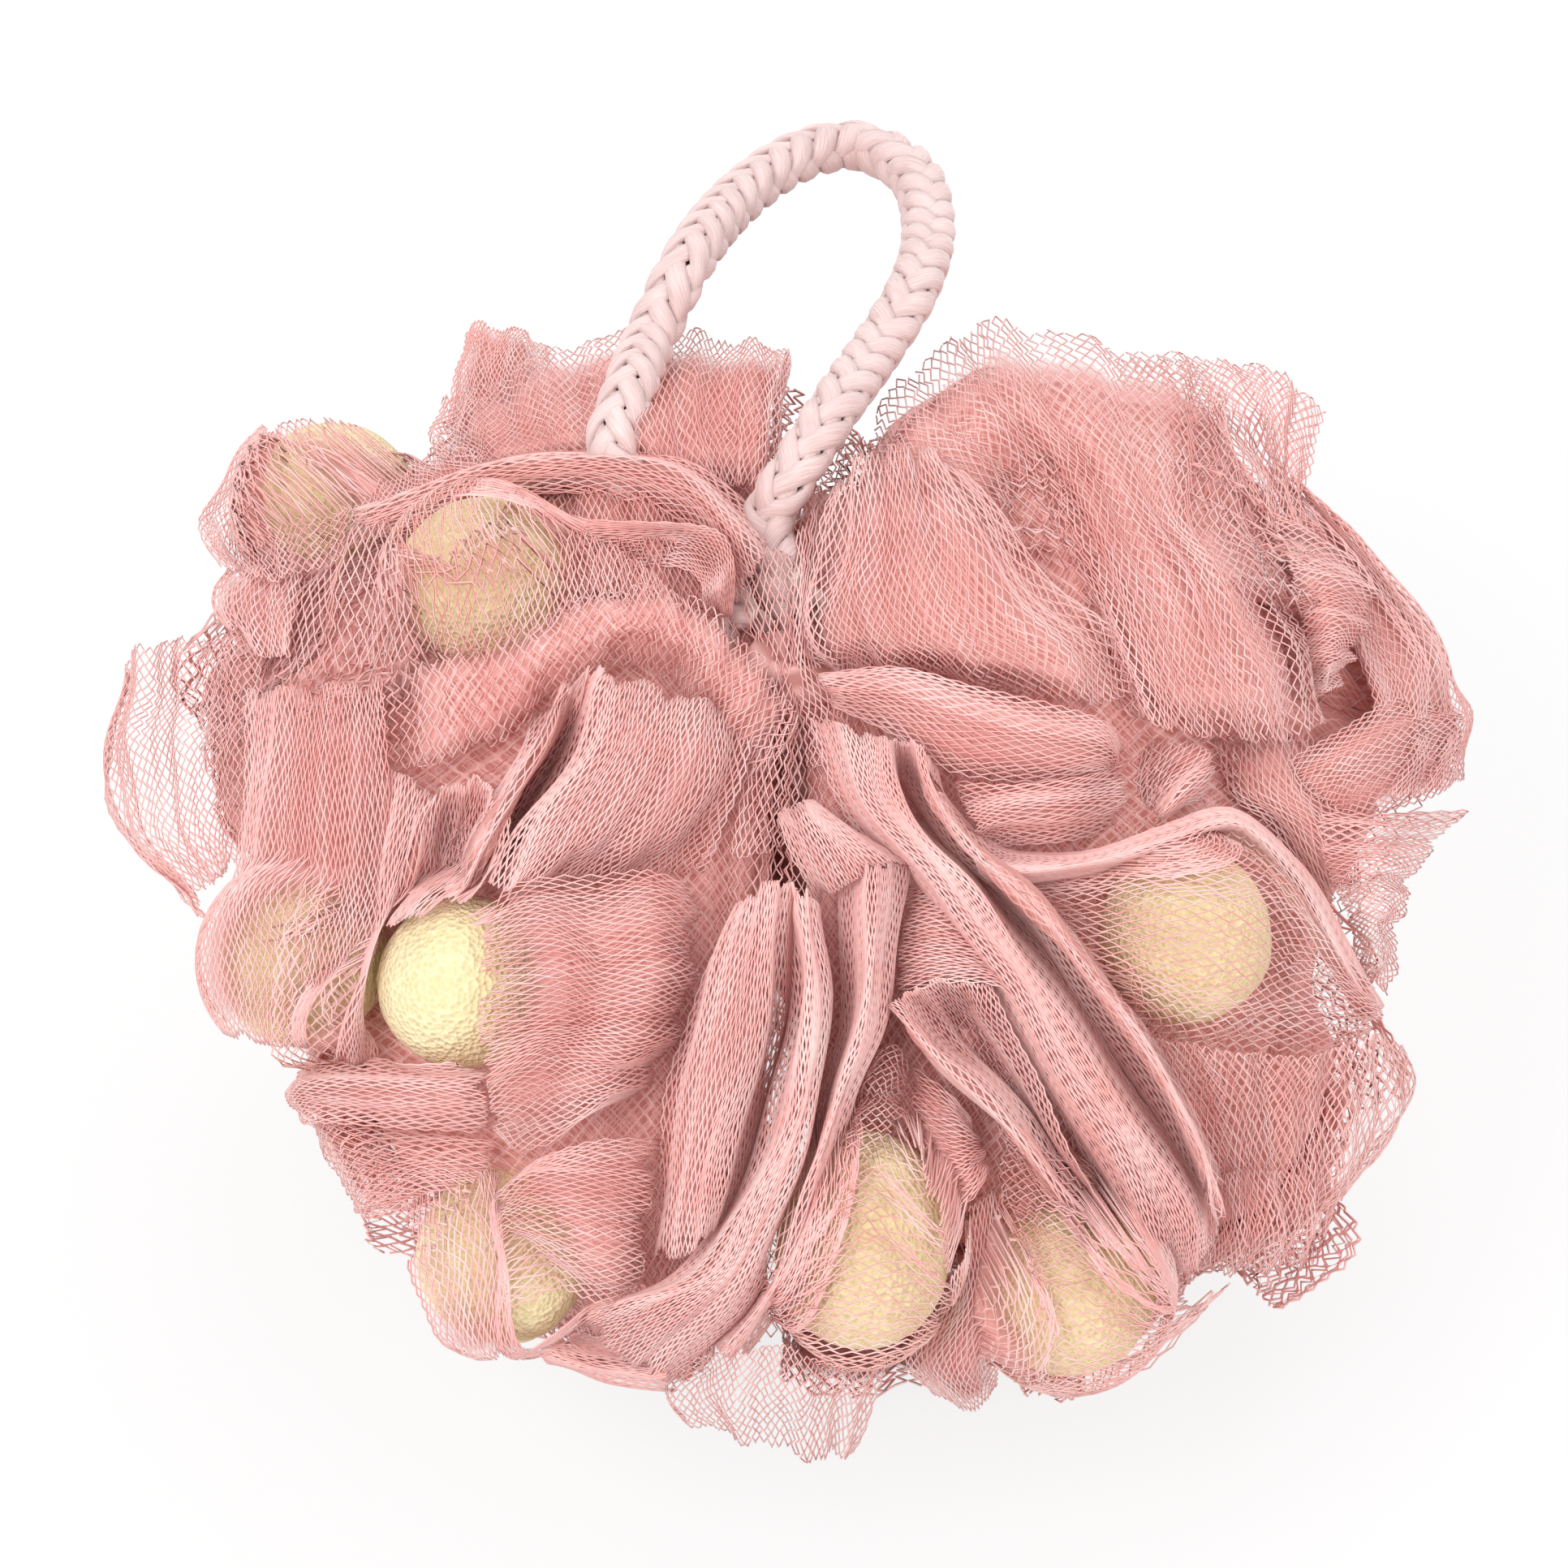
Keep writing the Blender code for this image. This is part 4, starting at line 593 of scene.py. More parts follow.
# Left half, as the photograph shows it: petals over the foam balls at the far left, folds like a trumpet and an arch
# in the middle, and flat bands and rolls at the front, with cut ends at the far left and the upper left.
left_rear = grids({
    "crest_lobe": [
      [545,490,-9, 532,525,-9, 540,560,-9, 565,592,-10],
      [592,470,-3, 600,515,0, 604,545,0, 612,580,-4],
      [680,427,-3, 690,470,3, 700,520,3, 720,575,-4],
      [800,410,-3, 800,450,3, 808,520,3, 820,595,-6],
      [890,412,-3, 885,460,0, 880,525,-3, 890,600,-9],
      [955,424,-3, 955,470,2, 950,535,1, 932,610,-8],
      [972,445,-11, 963,492,-10, 957,545,-11, 945,615,-14]],
    "back_tuft": [
      [568,402,-9, 590,388,-7, 618,397,-5, 645,398,-7, 668,422,-10],
      [556,450,-9, 580,450,-5, 605,462,-9, 640,450,-6, 684,455,-11],
      [545,525,-12, 572,530,-9, 612,520,-12, 652,510,-10, 702,500,-14]],
    "saddle": [
      [425,600,-8, 480,582,-8, 520,560,-8, 560,500,-12],
      [420,640,-3, 490,615,-2, 550,590,-3, 620,560,-8],
      [400,690,-6, 500,660,-5, 580,625,-6, 680,590,-10]],
    "collar": [
      [440,620,-9, 560,578,-8, 660,560,-7, 760,556,-6, 840,573,-6, 905,612,-8, 955,655,-12],
      [440,640,-1, 560,594,2, 660,574,3, 760,569,4, 842,592,4, 895,640,2, 935,700,-3],
      [480,665,-5, 590,625,-4, 690,612,-4, 780,620,-5, 850,652,-6, 885,705,-9, 905,760,-12]],
    "sponge_cover": [
      [395,695,-8, 465,644,-3, 560,622,1, 645,628,1, 725,658,0, 800,704,-2, 850,748,-4],
      [360,765,-3, 460,732,1, 560,722,5, 655,722,4, 735,735,0, 805,755,-3, 850,775,-6],
      [330,845,-8, 450,832,-3, 560,812,0, 655,795,0, 735,790,-3, 805,795,-7, 850,805,-10]],
    "pleat_between": [
      [480,945,-3, 520,960,0, 560,985,-3],
      [470,1050,-3, 498,1058,1, 525,1062,-3],
      [455,1150,-4, 478,1155,2, 500,1150,-4],
      [425,1240,-4, 446,1244,2, 470,1240,-5],
      [400,1300,-8, 440,1305,-3, 480,1300,-8]],
    "fringe_mid": [
      [275,700,-8, 320,700,-4, 380,700,-3],
      [265,745,-8, 300,755,-3, 370,755,-1],
      [300,800,-10, 320,810,-5, 370,815,-4]],
    "roll_low": [
      [610,1290,-8, 610,1335,0, 610,1390,-6],
      [490,1298,-7, 490,1332,2, 500,1380,-3],
      [400,1300,-10, 385,1335,0, 402,1376,-4],
      [374,1318,-16, 366,1350,-11, 386,1378,-12]],
    "corner_low": [
      [555,1488,-8, 600,1432,-3, 650,1440,-5],
      [576,1550,-6, 620,1540,3, 664,1550,-2],
      [604,1622,-9, 645,1634,-2, 692,1645,-6]],
})
left_middle = grids({
    "curl_high": [
      [640,634,-2, 640,668,-1, 650,702,-7],
      [750,646,0, 750,668,-4, 750,700,-7],
      [850,649,2, 835,668,-5, 840,705,-5],
      [892,662,2, 872,690,-3, 865,722,-4],
      [906,700,0, 888,720,1, 870,740,-5],
      [902,762,-8, 888,764,-7, 872,766,-10]],
    "wide_sheet": [
      [470,835,-1, 560,802,1, 640,770,1, 725,740,1, 800,728,1, 862,742,1, 920,790,-1, 962,842,-4, 986,905,-10],
      [480,890,0, 560,870,2, 640,838,1, 722,790,2, 800,778,3, 855,800,3, 895,845,0, 925,890,-4, 945,945,-9],
      [490,950,-3, 560,940,-2, 640,905,-5, 715,850,-5, 790,830,-6, 840,850,-6, 870,890,-8, 890,940,-11,
       905,990,-14]],
    "curtain": [
      [318,852,0, 362,850,1, 420,843,1, 480,832,0],
      [308,960,0, 355,962,3, 420,958,2, 490,945,-1],
      [300,1075,-1, 350,1080,3, 420,1080,3, 490,1070,-1],
      [282,1180,-2, 340,1180,6, 410,1180,6, 476,1155,0],
      [306,1256,-6, 350,1272,0, 400,1285,-1, 450,1270,-7]],
    "fringe_left": [
      [330,762,-8, 330,830,-3, 330,900,-2, 320,980,-3, 310,1050,-6],
      [245,786,-6, 240,850,0, 235,920,1, 240,1000,0, 282,1080,-2],
      [165,798,-10, 158,875,-2, 155,945,0, 190,1035,0, 250,1102,-2],
      [150,830,-14, 135,915,-8, 122,985,-4, 207,1078,-2, 274,1136,-3]],
    "fringe_high": [
      [318,520,-6, 333,532,-3, 348,546,-3, 362,560,-6],
      [272,575,-6, 300,592,0, 340,600,0, 395,590,-6],
      [240,640,-6, 285,655,0, 345,655,1, 430,625,-3],
      [272,700,-8, 315,715,-2, 360,715,-1, 430,690,-4]],
    "ruffle_low": [
      [625,1396,-8, 605,1440,-3, 582,1484,-6],
      [525,1388,-7, 522,1430,0, 532,1480,-4],
      [415,1368,-9, 455,1450,-4, 472,1492,-6],
      [398,1385,-14, 438,1468,-11, 455,1492,-13]],
    "swag": [
      [905,1128,-5, 930,1096,1, 960,1082,3, 984,1092,1],
      [860,1210,-5, 900,1200,3, 948,1190,4, 974,1200,-4],
      [830,1310,-7, 880,1320,3, 928,1310,3, 958,1320,-8],
      [815,1415,-7, 858,1430,2, 898,1422,1, 926,1430,-8],
      [800,1540,-9, 850,1532,0, 880,1502,0, 904,1500,-6]],
    "hem_left": [
      [672,1606,-8, 660,1630,-1, 672,1655,0, 690,1670,-8],
      [735,1630,-8, 730,1652,-3, 742,1674,1, 752,1690,-8],
      [825,1640,-8, 822,1662,-3, 828,1684,1, 838,1698,-8]],
})
left_front = grids({
    "trumpet": [
      [655,905,-12, 700,846,-2, 738,822,2, 766,838,2, 850,858,1, 932,882,-7],
      [630,962,-10, 668,918,3, 704,912,-7, 736,922,5, 822,940,3, 916,962,-7],
      [590,1042,-8, 620,1008,3, 650,1000,-8, 680,1010,5, 770,1030,2, 890,1032,-9],
      [550,1122,-8, 576,1098,0, 600,1078,-6, 632,1092,3, 722,1082,-3, 862,1072,-11]],
    "arch": [
      [485,1060,-6, 528,992,1, 572,962,3, 612,964,3, 642,990,0],
      [472,1110,-6, 520,1052,2, 562,1022,-6, 600,1022,-5, 628,1032,3],
      [470,1150,-9, 510,1112,-3, 548,1088,-7, 578,1080,-4, 590,1110,1]],
    "pouch": [
      [600,1116,0, 650,1083,3, 730,1074,4, 800,1064,3, 852,1086,-4],
      [608,1170,3, 692,1148,3, 738,1160,7, 810,1150,5, 860,1160,-4],
      [600,1262,1, 695,1240,1, 742,1240,7, 802,1240,5, 852,1240,-5],
      [611,1330,1, 672,1300,0, 722,1300,5, 772,1310,3, 822,1302,-6],
      [618,1392,-4, 650,1408,-1, 692,1396,1, 732,1370,0, 782,1342,-7]],
    "cushion": [
      [818,1392,-5, 810,1450,-1, 802,1520,-1, 792,1600,-5],
      [740,1392,2, 735,1442,6, 735,1510,5, 746,1592,0],
      [680,1412,2, 665,1446,6, 670,1500,5, 702,1572,0],
      [636,1442,-5, 620,1464,0, 628,1500,0, 668,1547,-4]],
    "sash": [
      [958,1104,-7, 975,1084,1, 1001,1098,3, 1016,1150,-6],
      [970,1230,-8, 990,1220,3, 1009,1220,5, 1028,1232,-6],
      [950,1340,-8, 974,1340,3, 999,1340,6, 1012,1352,-5],
      [905,1462,-8, 930,1452,3, 961,1450,6, 990,1452,-4],
      [840,1548,-8, 880,1541,2, 916,1550,5, 952,1562,-3],
      [745,1592,-8, 800,1586,1, 850,1612,4, 890,1642,-3],
      [672,1610,-7, 722,1622,-4, 790,1672,2, 832,1692,-6]],
    "apron": [
      [960,1002,-6, 986,984,0, 1012,990,-4],
      [975,1060,-4, 1020,1030,3, 1062,1030,-1],
      [1012,1112,-6, 1052,1082,3, 1116,1060,0]],
    "stole": [
      [1032,1066,-4, 1075,1060,4, 1121,1064,-3],
      [1040,1160,-5, 1075,1160,6, 1108,1152,-4],
      [1034,1260,-5, 1063,1260,6, 1090,1250,-4],
      [1010,1352,-5, 1033,1346,5, 1056,1340,-4],
      [975,1452,-5, 998,1450,5, 1020,1442,-4],
      [944,1552,-5, 963,1556,4, 985,1552,-5],
      [875,1640,-6, 897,1652,2, 922,1652,-6]],
    "foot": [
      [835,1662,-4, 822,1692,-5, 842,1735,-8],
      [920,1645,2, 910,1702,4, 912,1764,-1],
      [1010,1645,2, 1010,1705,4, 1004,1785,-1],
      [1100,1640,-4, 1086,1700,-3, 1050,1775,-6]],
})
for name, petals in (("net_left_rear", left_rear), ("net_left_middle", left_middle), ("net_left_front", left_front)):
    net_pieces(name, petals)

# Right half, as the photograph shows it: one great lobe over its top, folds and curls in the middle, and a broad
# sheet at the lower right, with cut ends at the far right and the lower middle.
right_rear = grids({
    "great_lobe": [
      [1055,612,-8, 1086,502,-6, 1165,427,-4, 1236,386,-3, 1370,418,-3, 1490,452,-4, 1510,520,-6],
      [1120,640,-6, 1150,560,1, 1215,500,4, 1270,480,5, 1390,500,5, 1495,530,2, 1545,590,-5],
      [1200,690,-14, 1240,640,-11, 1280,590,-8, 1330,580,-3, 1410,610,0, 1480,640,0, 1572,655,-6],
      [1255,740,-14, 1290,715,-12, 1330,690,-5, 1375,680,1, 1450,690,1, 1510,720,2, 1588,730,-6],
      [1300,800,-12, 1340,790,-8, 1375,790,-1, 1420,800,3, 1490,810,4, 1550,810,3, 1612,805,-5],
      [1355,870,-12, 1380,880,-8, 1410,892,-3, 1455,908,0, 1520,912,1, 1575,915,0, 1632,890,-4]],
    "post": [
      [1150,1482,-9, 1192,1472,-5, 1236,1442,-6],
      [1158,1582,-8, 1196,1582,-3, 1236,1572,-5],
      [1114,1656,-7, 1172,1672,0, 1230,1662,-6],
      [1148,1706,-11, 1195,1728,-5, 1226,1696,-10]],
    "shoulder": [
      [1555,560,-15, 1588,580,-8, 1615,602,-6, 1640,640,-9],
      [1632,722,-10, 1680,702,-4, 1708,700,-2, 1722,712,-8],
      [1680,832,-8, 1740,802,-1, 1778,812,0, 1796,832,-8],
      [1680,922,-7, 1740,902,-1, 1788,902,0, 1815,890,-8],
      [1640,992,-8, 1710,982,-1, 1768,972,0, 1802,960,-8]],
    "shade": [
      [1485,905,-11, 1542,905,-9, 1610,890,-9],
      [1510,980,-9, 1562,972,-5, 1625,960,-6],
      [1560,1022,-9, 1602,1022,-5, 1655,1012,-7],
      [1622,1122,-10, 1642,1102,-6, 1672,1082,-8]],
    "gallery": [
      [1560,950,-8, 1600,985,-8, 1640,1030,-9],
      [1640,900,-4, 1665,945,1, 1690,1005,-5],
      [1720,860,-4, 1745,915,1, 1762,985,-5],
      [1790,860,-8, 1806,900,-4, 1796,962,-8]],
})
right_middle = grids({
    "lobe_behind": [
      [1380,432,-10, 1450,432,-8, 1520,436,-7, 1590,458,-7, 1640,505,-9],
      [1400,500,-8, 1470,492,-5, 1540,490,-3, 1590,515,-3, 1625,560,-8],
      [1480,600,-12, 1530,570,-8, 1565,570,-4, 1590,590,-4, 1606,620,-8],
      [1520,680,-14, 1560,660,-9, 1580,650,-5, 1610,650,-4, 1640,660,-8]],
    "tongue": [
      [1034,600,-6, 1062,567,0, 1108,554,3, 1146,556,3, 1168,578,-3],
      [1008,680,-5, 1060,662,2, 1120,652,5, 1190,650,4, 1238,650,-3],
      [988,752,-5, 1050,742,2, 1130,740,5, 1240,740,5, 1302,735,-3],
      [1000,810,-8, 1060,800,1, 1160,808,3, 1290,810,4, 1377,795,-3],
      [1026,836,-11, 1080,832,-5, 1180,842,-5, 1325,872,0, 1412,844,-3]],
    "sponge_veil": [
      [1232,1072,-8, 1216,1092,-7, 1226,1122,-8, 1262,1172,-9],
      [1330,1058,-3, 1330,1102,0, 1322,1162,-2, 1332,1224,-8],
      [1430,1032,1, 1440,1102,7, 1432,1182,6, 1420,1272,-4],
      [1530,1030,1, 1542,1112,7, 1532,1202,5, 1520,1287,-5],
      [1602,1090,0, 1622,1162,3, 1622,1222,2, 1612,1292,-5],
      [1652,1182,-6, 1682,1222,-4, 1692,1246,-4, 1682,1272,-8]],
    "scroll_top": [
      [1108,1092,-7, 1104,1150,-3, 1101,1216,-2],
      [1152,1088,-4, 1156,1150,1, 1156,1204,2],
      [1202,1112,-6, 1216,1162,0, 1216,1206,2],
      [1242,1152,-9, 1252,1192,-4, 1252,1232,0]],
    "cut_flap": [
      [1115,1300,-7, 1126,1392,-5, 1150,1492,-6],
      [1160,1332,-3, 1176,1402,0, 1192,1466,-1],
      [1190,1368,-4, 1206,1400,-3, 1216,1428,-3]],
    "sponge_corner": [
      [1222,1332,-6, 1252,1362,-4, 1302,1402,-6, 1352,1442,-9],
      [1232,1452,-3, 1277,1462,2, 1332,1492,0, 1402,1522,-7],
      [1240,1562,-3, 1292,1562,7, 1362,1570,6, 1432,1572,-4],
      [1222,1642,-7, 1292,1652,3, 1372,1642,3, 1472,1602,-2],
      [1246,1682,-11, 1312,1688,-5, 1402,1672,-5, 1512,1572,-7]],
    "skirt": [
      [1366,1260,-6, 1430,1276,-1, 1520,1289,0, 1612,1291,0, 1682,1268,1, 1726,1286,-5],
      [1392,1322,-8, 1452,1342,-4, 1532,1350,-2, 1612,1350,0, 1692,1340,1, 1743,1330,-5],
      [1432,1392,-10, 1482,1422,-7, 1542,1432,-4, 1612,1432,-1, 1672,1422,-1, 1704,1400,-7],
      [1462,1472,-11, 1512,1492,-7, 1562,1492,-4, 1602,1492,-2, 1632,1482,-3, 1646,1468,-8]],
    "skirt_low": [
      [1470,1442,-8, 1532,1432,-3, 1602,1442,-2, 1650,1462,-7],
      [1482,1512,-5, 1542,1502,1, 1602,1512,0, 1632,1522,-7],
      [1470,1552,-10, 1532,1563,-4, 1592,1557,-4, 1612,1546,-10]],
    "fan": [
      [1565,640,-7, 1590,722,-5, 1602,802,-6, 1622,862,-8],
      [1622,650,-3, 1642,722,1, 1642,792,1, 1632,852,-5],
      [1690,700,-9, 1696,742,-6, 1672,802,-6, 1642,842,-9]],
    "fringe_right": [
      [1602,1002,-8, 1622,1062,-4, 1652,1132,-5, 1672,1222,-9],
      [1702,1000,-3, 1692,1052,1, 1692,1122,0, 1692,1202,-5],
      [1806,1000,-8, 1748,1062,-6, 1724,1132,-6, 1705,1224,-9]],
    "nook": [
      [1385,888,-10, 1432,908,-6, 1480,924,-2, 1492,946,-2, 1468,988,-6],
      [1384,952,-10, 1402,962,-7, 1440,956,-5, 1452,968,1, 1430,1003,-4],
      [1384,1000,-12, 1396,1000,-9, 1412,1000,-8, 1420,1003,-3, 1410,1016,-6]],
})
right_front = grids({
    "shelf": [
      [1008,834,-6, 1012,850,-2, 1026,872,-6],
      [1100,822,1, 1096,860,5, 1104,908,-1],
      [1200,850,2, 1188,892,6, 1168,952,-1],
      [1290,869,2, 1280,912,6, 1262,964,-1],
      [1352,892,0, 1358,922,3, 1346,950,-1],
      [1378,922,-8, 1377,942,-8, 1370,962,-10]],
    "shelf_under": [
      [1382,938,-7, 1382,978,-3, 1366,1028,-9],
      [1322,958,1, 1312,992,4, 1302,1036,-3],
      [1240,968,2, 1230,1002,4, 1242,1042,-4],
      [1172,962,-2, 1190,1010,2, 1212,1046,-4]],
    "rail": [
      [1207,1030,-3, 1195,1056,2, 1207,1082,-1],
      [1252,1049,-3, 1246,1068,3, 1242,1086,-2],
      [1330,1047,-1, 1330,1061,4, 1330,1077,-2],
      [1422,1018,-1, 1426,1036,4, 1430,1053,-2],
      [1512,996,-1, 1514,1012,4, 1508,1034,-3],
      [1592,1062,-2, 1584,1076,3, 1564,1092,-3],
      [1646,1150,-3, 1636,1162,3, 1616,1172,-3],
      [1698,1236,-8, 1686,1246,-4, 1668,1252,-8]],
    "runner": [
      [1000,884,-7, 1040,894,0, 1085,909,4, 1104,912,2],
      [1022,970,-7, 1062,970,2, 1097,975,5, 1110,975,-5],
      [1072,1042,-6, 1112,1040,3, 1137,1034,5, 1152,1028,-6],
      [1132,1112,-6, 1172,1110,3, 1197,1100,5, 1212,1088,-6],
      [1190,1192,-6, 1232,1190,3, 1257,1180,5, 1277,1168,-6],
      [1252,1292,-6, 1292,1290,3, 1322,1280,5, 1342,1264,-5],
      [1320,1402,-7, 1362,1400,3, 1397,1390,5, 1412,1370,-5],
      [1368,1502,-9, 1412,1502,1, 1452,1490,4, 1476,1470,-3],
      [1398,1545,-12, 1430,1556,-4, 1462,1560,0, 1488,1520,-5]],
    "runner_twin": [
      [1100,916,-1, 1120,911,3, 1140,930,3, 1152,962,-5],
      [1106,972,-8, 1128,966,-2, 1152,985,4, 1172,1002,-5],
      [1152,1046,-9, 1177,1032,0, 1202,1050,5, 1227,1062,-5],
      [1220,1112,-9, 1252,1096,0, 1277,1120,5, 1297,1132,-5],
      [1282,1192,-9, 1317,1180,0, 1342,1200,5, 1362,1217,-5],
      [1342,1282,-9, 1377,1266,0, 1407,1285,5, 1422,1302,-5],
      [1410,1382,-9, 1442,1370,0, 1467,1400,5, 1477,1422,-5],
      [1462,1472,-10, 1480,1460,-1, 1492,1490,3, 1486,1522,-5]],
    "scroll": [
      [1216,1206,1, 1160,1199,3, 1120,1207,3, 1099,1228,1, 1102,1252,-2],
      [1242,1262,0, 1192,1252,-7, 1160,1262,-6, 1140,1275,3, 1134,1292,-4],
      [1272,1332,0, 1242,1332,-7, 1214,1322,-2, 1201,1332,4, 1190,1347,-5],
      [1312,1402,0, 1292,1402,-7, 1272,1392,-2, 1260,1402,4, 1250,1412,-5],
      [1362,1492,-4, 1347,1482,-7, 1332,1482,-2, 1320,1482,1, 1308,1490,-6]],
    "sponge_drop": [
      [1068,1286,-6, 1084,1275,-4, 1100,1280,-4, 1116,1296,-7],
      [1034,1372,-4, 1060,1370,0, 1090,1370,0, 1126,1372,-5],
      [990,1472,-3, 1040,1470,6, 1090,1470,6, 1148,1482,-4],
      [958,1560,-5, 1030,1570,7, 1100,1570,6, 1155,1560,-5],
      [975,1622,-9, 1030,1648,0, 1090,1642,0, 1130,1622,-7]],
})
for name, petals in (("net_right_rear", right_rear), ("net_right_middle", right_middle),
                     ("net_right_front", right_front)):
    net_pieces(name, petals)

# Hidden side of both halves, which is guessed: the seen petals of the other half, turned through the pouf's middle.
# Their cords are thicker and wider apart than the seen ones, to keep the triangles down.
for name, petals, slot_name in (("net_under_right", {**left_rear, **left_middle, **left_front}, "net_rose"),
                                ("net_under_left", {**right_rear, **right_middle, **right_front}, "net_pink")):
    net_pieces(name, {label: 2 * MIDDLE - grid for label, grid in petals.items()}, hidden=True)

# Drapes: petals of both halves that the photograph doesn't show, over the back and low at the front, fanned out from
# the tie over the bulk, each about 45 by 65 mm, in the same net and colours.
TIE_PLACE, TIE_TURN = MIDDLE + np.array([0.0018, 0, 0]), math.radians(11)
TIE_AXIS = np.array([math.cos(TIE_TURN), math.sin(TIE_TURN), 0])
TIE_SIDE = np.array([-math.sin(TIE_TURN), math.cos(TIE_TURN), 0])
UPRIGHT = np.array([0, 0, 1])
DRAPE_NECK, DRAPE_DEEP, DRAPE_OVER, DRAPE_UNDER, DRAPE_REACH = 0.0146, 0.0720, 0.0470, 0.0660, 0.0765
DRAPES = ((-28, 12, 0.0008), (4, 36, 0.0022), (24, 62, 0.0012), (52, 84, 0.0024), (190, 226, 0.0012),
          (218, 252, 0.0024))


def swelled(along):
    """How far the net has swelled from the tie's neck to its full size: 0 by the tie, 1 from 28 mm along its axis."""
    share = np.clip((along - 0.004) / 0.024, 0, 1)
    return share * share * (3 - 2 * share)


def by_tie(way, along, deep, tall):
    """Points at a distance along the tie's axis, to the left or right, and off it to the back and up."""
    return (TIE_PLACE + TIE_AXIS * way * along[..., None] + deep[..., None] * TIE_SIDE
            + tall[..., None] * UPRIGHT)


def drape(way, start, end, lift):
    """Grid of a petal from one angle to another round the tie's axis, standing off more and more to its free end."""
    dice = np.random.default_rng(int(way * 5 + start + 400))
    along = np.linspace(0.010, 0.0705 + dice.uniform(-0.006, 0.002), 9)[:, None]
    share = np.linspace(0, 1, 9)[:, None]
    across = np.linspace(0, 1, 13)[None, :]
    angle = np.radians(start + (end - start) * (across + 0.1 * np.sin(4 * share + dice.uniform(0, 6))))
    fall = np.sqrt(1 - (along / DRAPE_REACH) ** 2)
    ripple = share * (0.0024 * np.sin(2 * math.pi * 2.3 * across + dice.uniform(0, 6))
                      + 0.0014 * np.sin(2 * math.pi * 4.1 * across + dice.uniform(0, 6)))

    def radius(half):
        return DRAPE_NECK + (half * fall - DRAPE_NECK) * swelled(along) + lift + 0.0035 * share ** 2 + ripple
    deep = radius(DRAPE_DEEP) * np.cos(angle)
    tall = np.where(np.sin(angle) > 0, radius(DRAPE_OVER), radius(DRAPE_UNDER)) * np.sin(angle)
    return by_tie(way, along, deep, tall)


for name, way, slot_name in (("net_drape_left", -1, "net_pink"), ("net_drape_right", 1, "net_rose")):
    petals = {f"drape_{number}": drape(way, *place) for number, place in enumerate(DRAPES)}
    net_pieces(name, petals, hidden=True)

# Gathered bulk inside each half: many layers of the same net, drawn into pleats at the tie.
# It fills the half behind the petals, and shows only between them, coloured darker and duller than they are as painted
# shade of the net deep inside.
net_bulk_painted_shade, place, shader = new_material("net_bulk_painted_shade", Roughness=0.55)
across, down = attribute_pair(place, "net")
cords_and_gap_shade = knitted(across, down, 0.17) * 0.45 + knitted(across * 1.31 + 0.4, down * 1.17 + 0.3, 0.2) * 0.35
# Darker ramp than the petals' and dark gaps: painted shade of the net inside the pouf, where little light reaches.
feed((cords_and_gap_shade * 0.7 + clouded(place, 45.0) * 0.3).ramp((0.05, (0.56, 0.18, 0.15)), (0.45, (0.76, 0.33, 0.30)),
                                                    (0.85, (0.90, 0.48, 0.45))), shader, "Base Color")
feed(cords_and_gap_shade.node("ShaderNodeBump", 0, {0: 0.7, 1: 0.0008, "Height": cords_and_gap_shade}), shader, "Normal")
BULK_LENGTH, BULK_NECK, BULK_DEEP, BULK_OVER, BULK_UNDER = 0.0755, 0.0136, 0.0705, 0.0455, 0.0660
BULK_RINGS, BULK_TURNS, CORDS_ROUND, BULK_LOWEST = 44, 150, 240, 0.0006
for label, way, slot_name in (("net_bulk_left", -1, "net_pink"), ("net_bulk_right", 1, "net_rose")):
    even = np.linspace(0, 1, BULK_RINGS)[:, None]
    along = BULK_LENGTH * (1 - (1 - even) ** 1.6) * 0.9995
    angle = np.linspace(0, 2 * math.pi, BULK_TURNS, endpoint=False)
    fall = np.sqrt(np.clip(1 - (along / BULK_LENGTH) ** 2, 0, 1))
    pleat = sum(high * np.cos(count * angle + start + way + 0.5 * np.sin(3 * even + start + way))
                for count, high, start in ((13, 0.05, 0.3), (21, 0.035, 1.1), (34, 0.018, 2.3)))
    radius = {half: BULK_NECK + (half * fall * (1 + pleat) - BULK_NECK) * swelled(along)
              for half in (BULK_DEEP, BULK_OVER, BULK_UNDER)}
    tall = np.where(np.sin(angle) > 0, radius[BULK_OVER], radius[BULK_UNDER]) * np.sin(angle)
    points = drawn_in(by_tie(way, along, radius[BULK_DEEP] * np.cos(angle), tall))
    points[..., 2] = np.maximum(points[..., 2], BULK_LOWEST)
    first = np.arange(BULK_RINGS - 1)[:, None] * BULK_TURNS
    here, after = np.arange(BULK_TURNS), (np.arange(BULK_TURNS) + 1) % BULK_TURNS
    quads = np.stack([first + here, first + after, first + BULK_TURNS + after, first + BULK_TURNS + here], axis=-1)
    knit = np.stack(np.broadcast_arrays(angle / (2 * math.pi) * CORDS_ROUND, along / CELL_LENGTH), axis=-1)
    bulk = add_mesh(label, points.reshape(-1, 3), quads.reshape(-1, 4), (), {"net": knit.reshape(-1, 2)})
    bulk.data.materials.append(net_bulk_painted_shade)
    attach(bulk, "root")
    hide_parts("net_tube_left" if way < 0 else "net_tube_right")

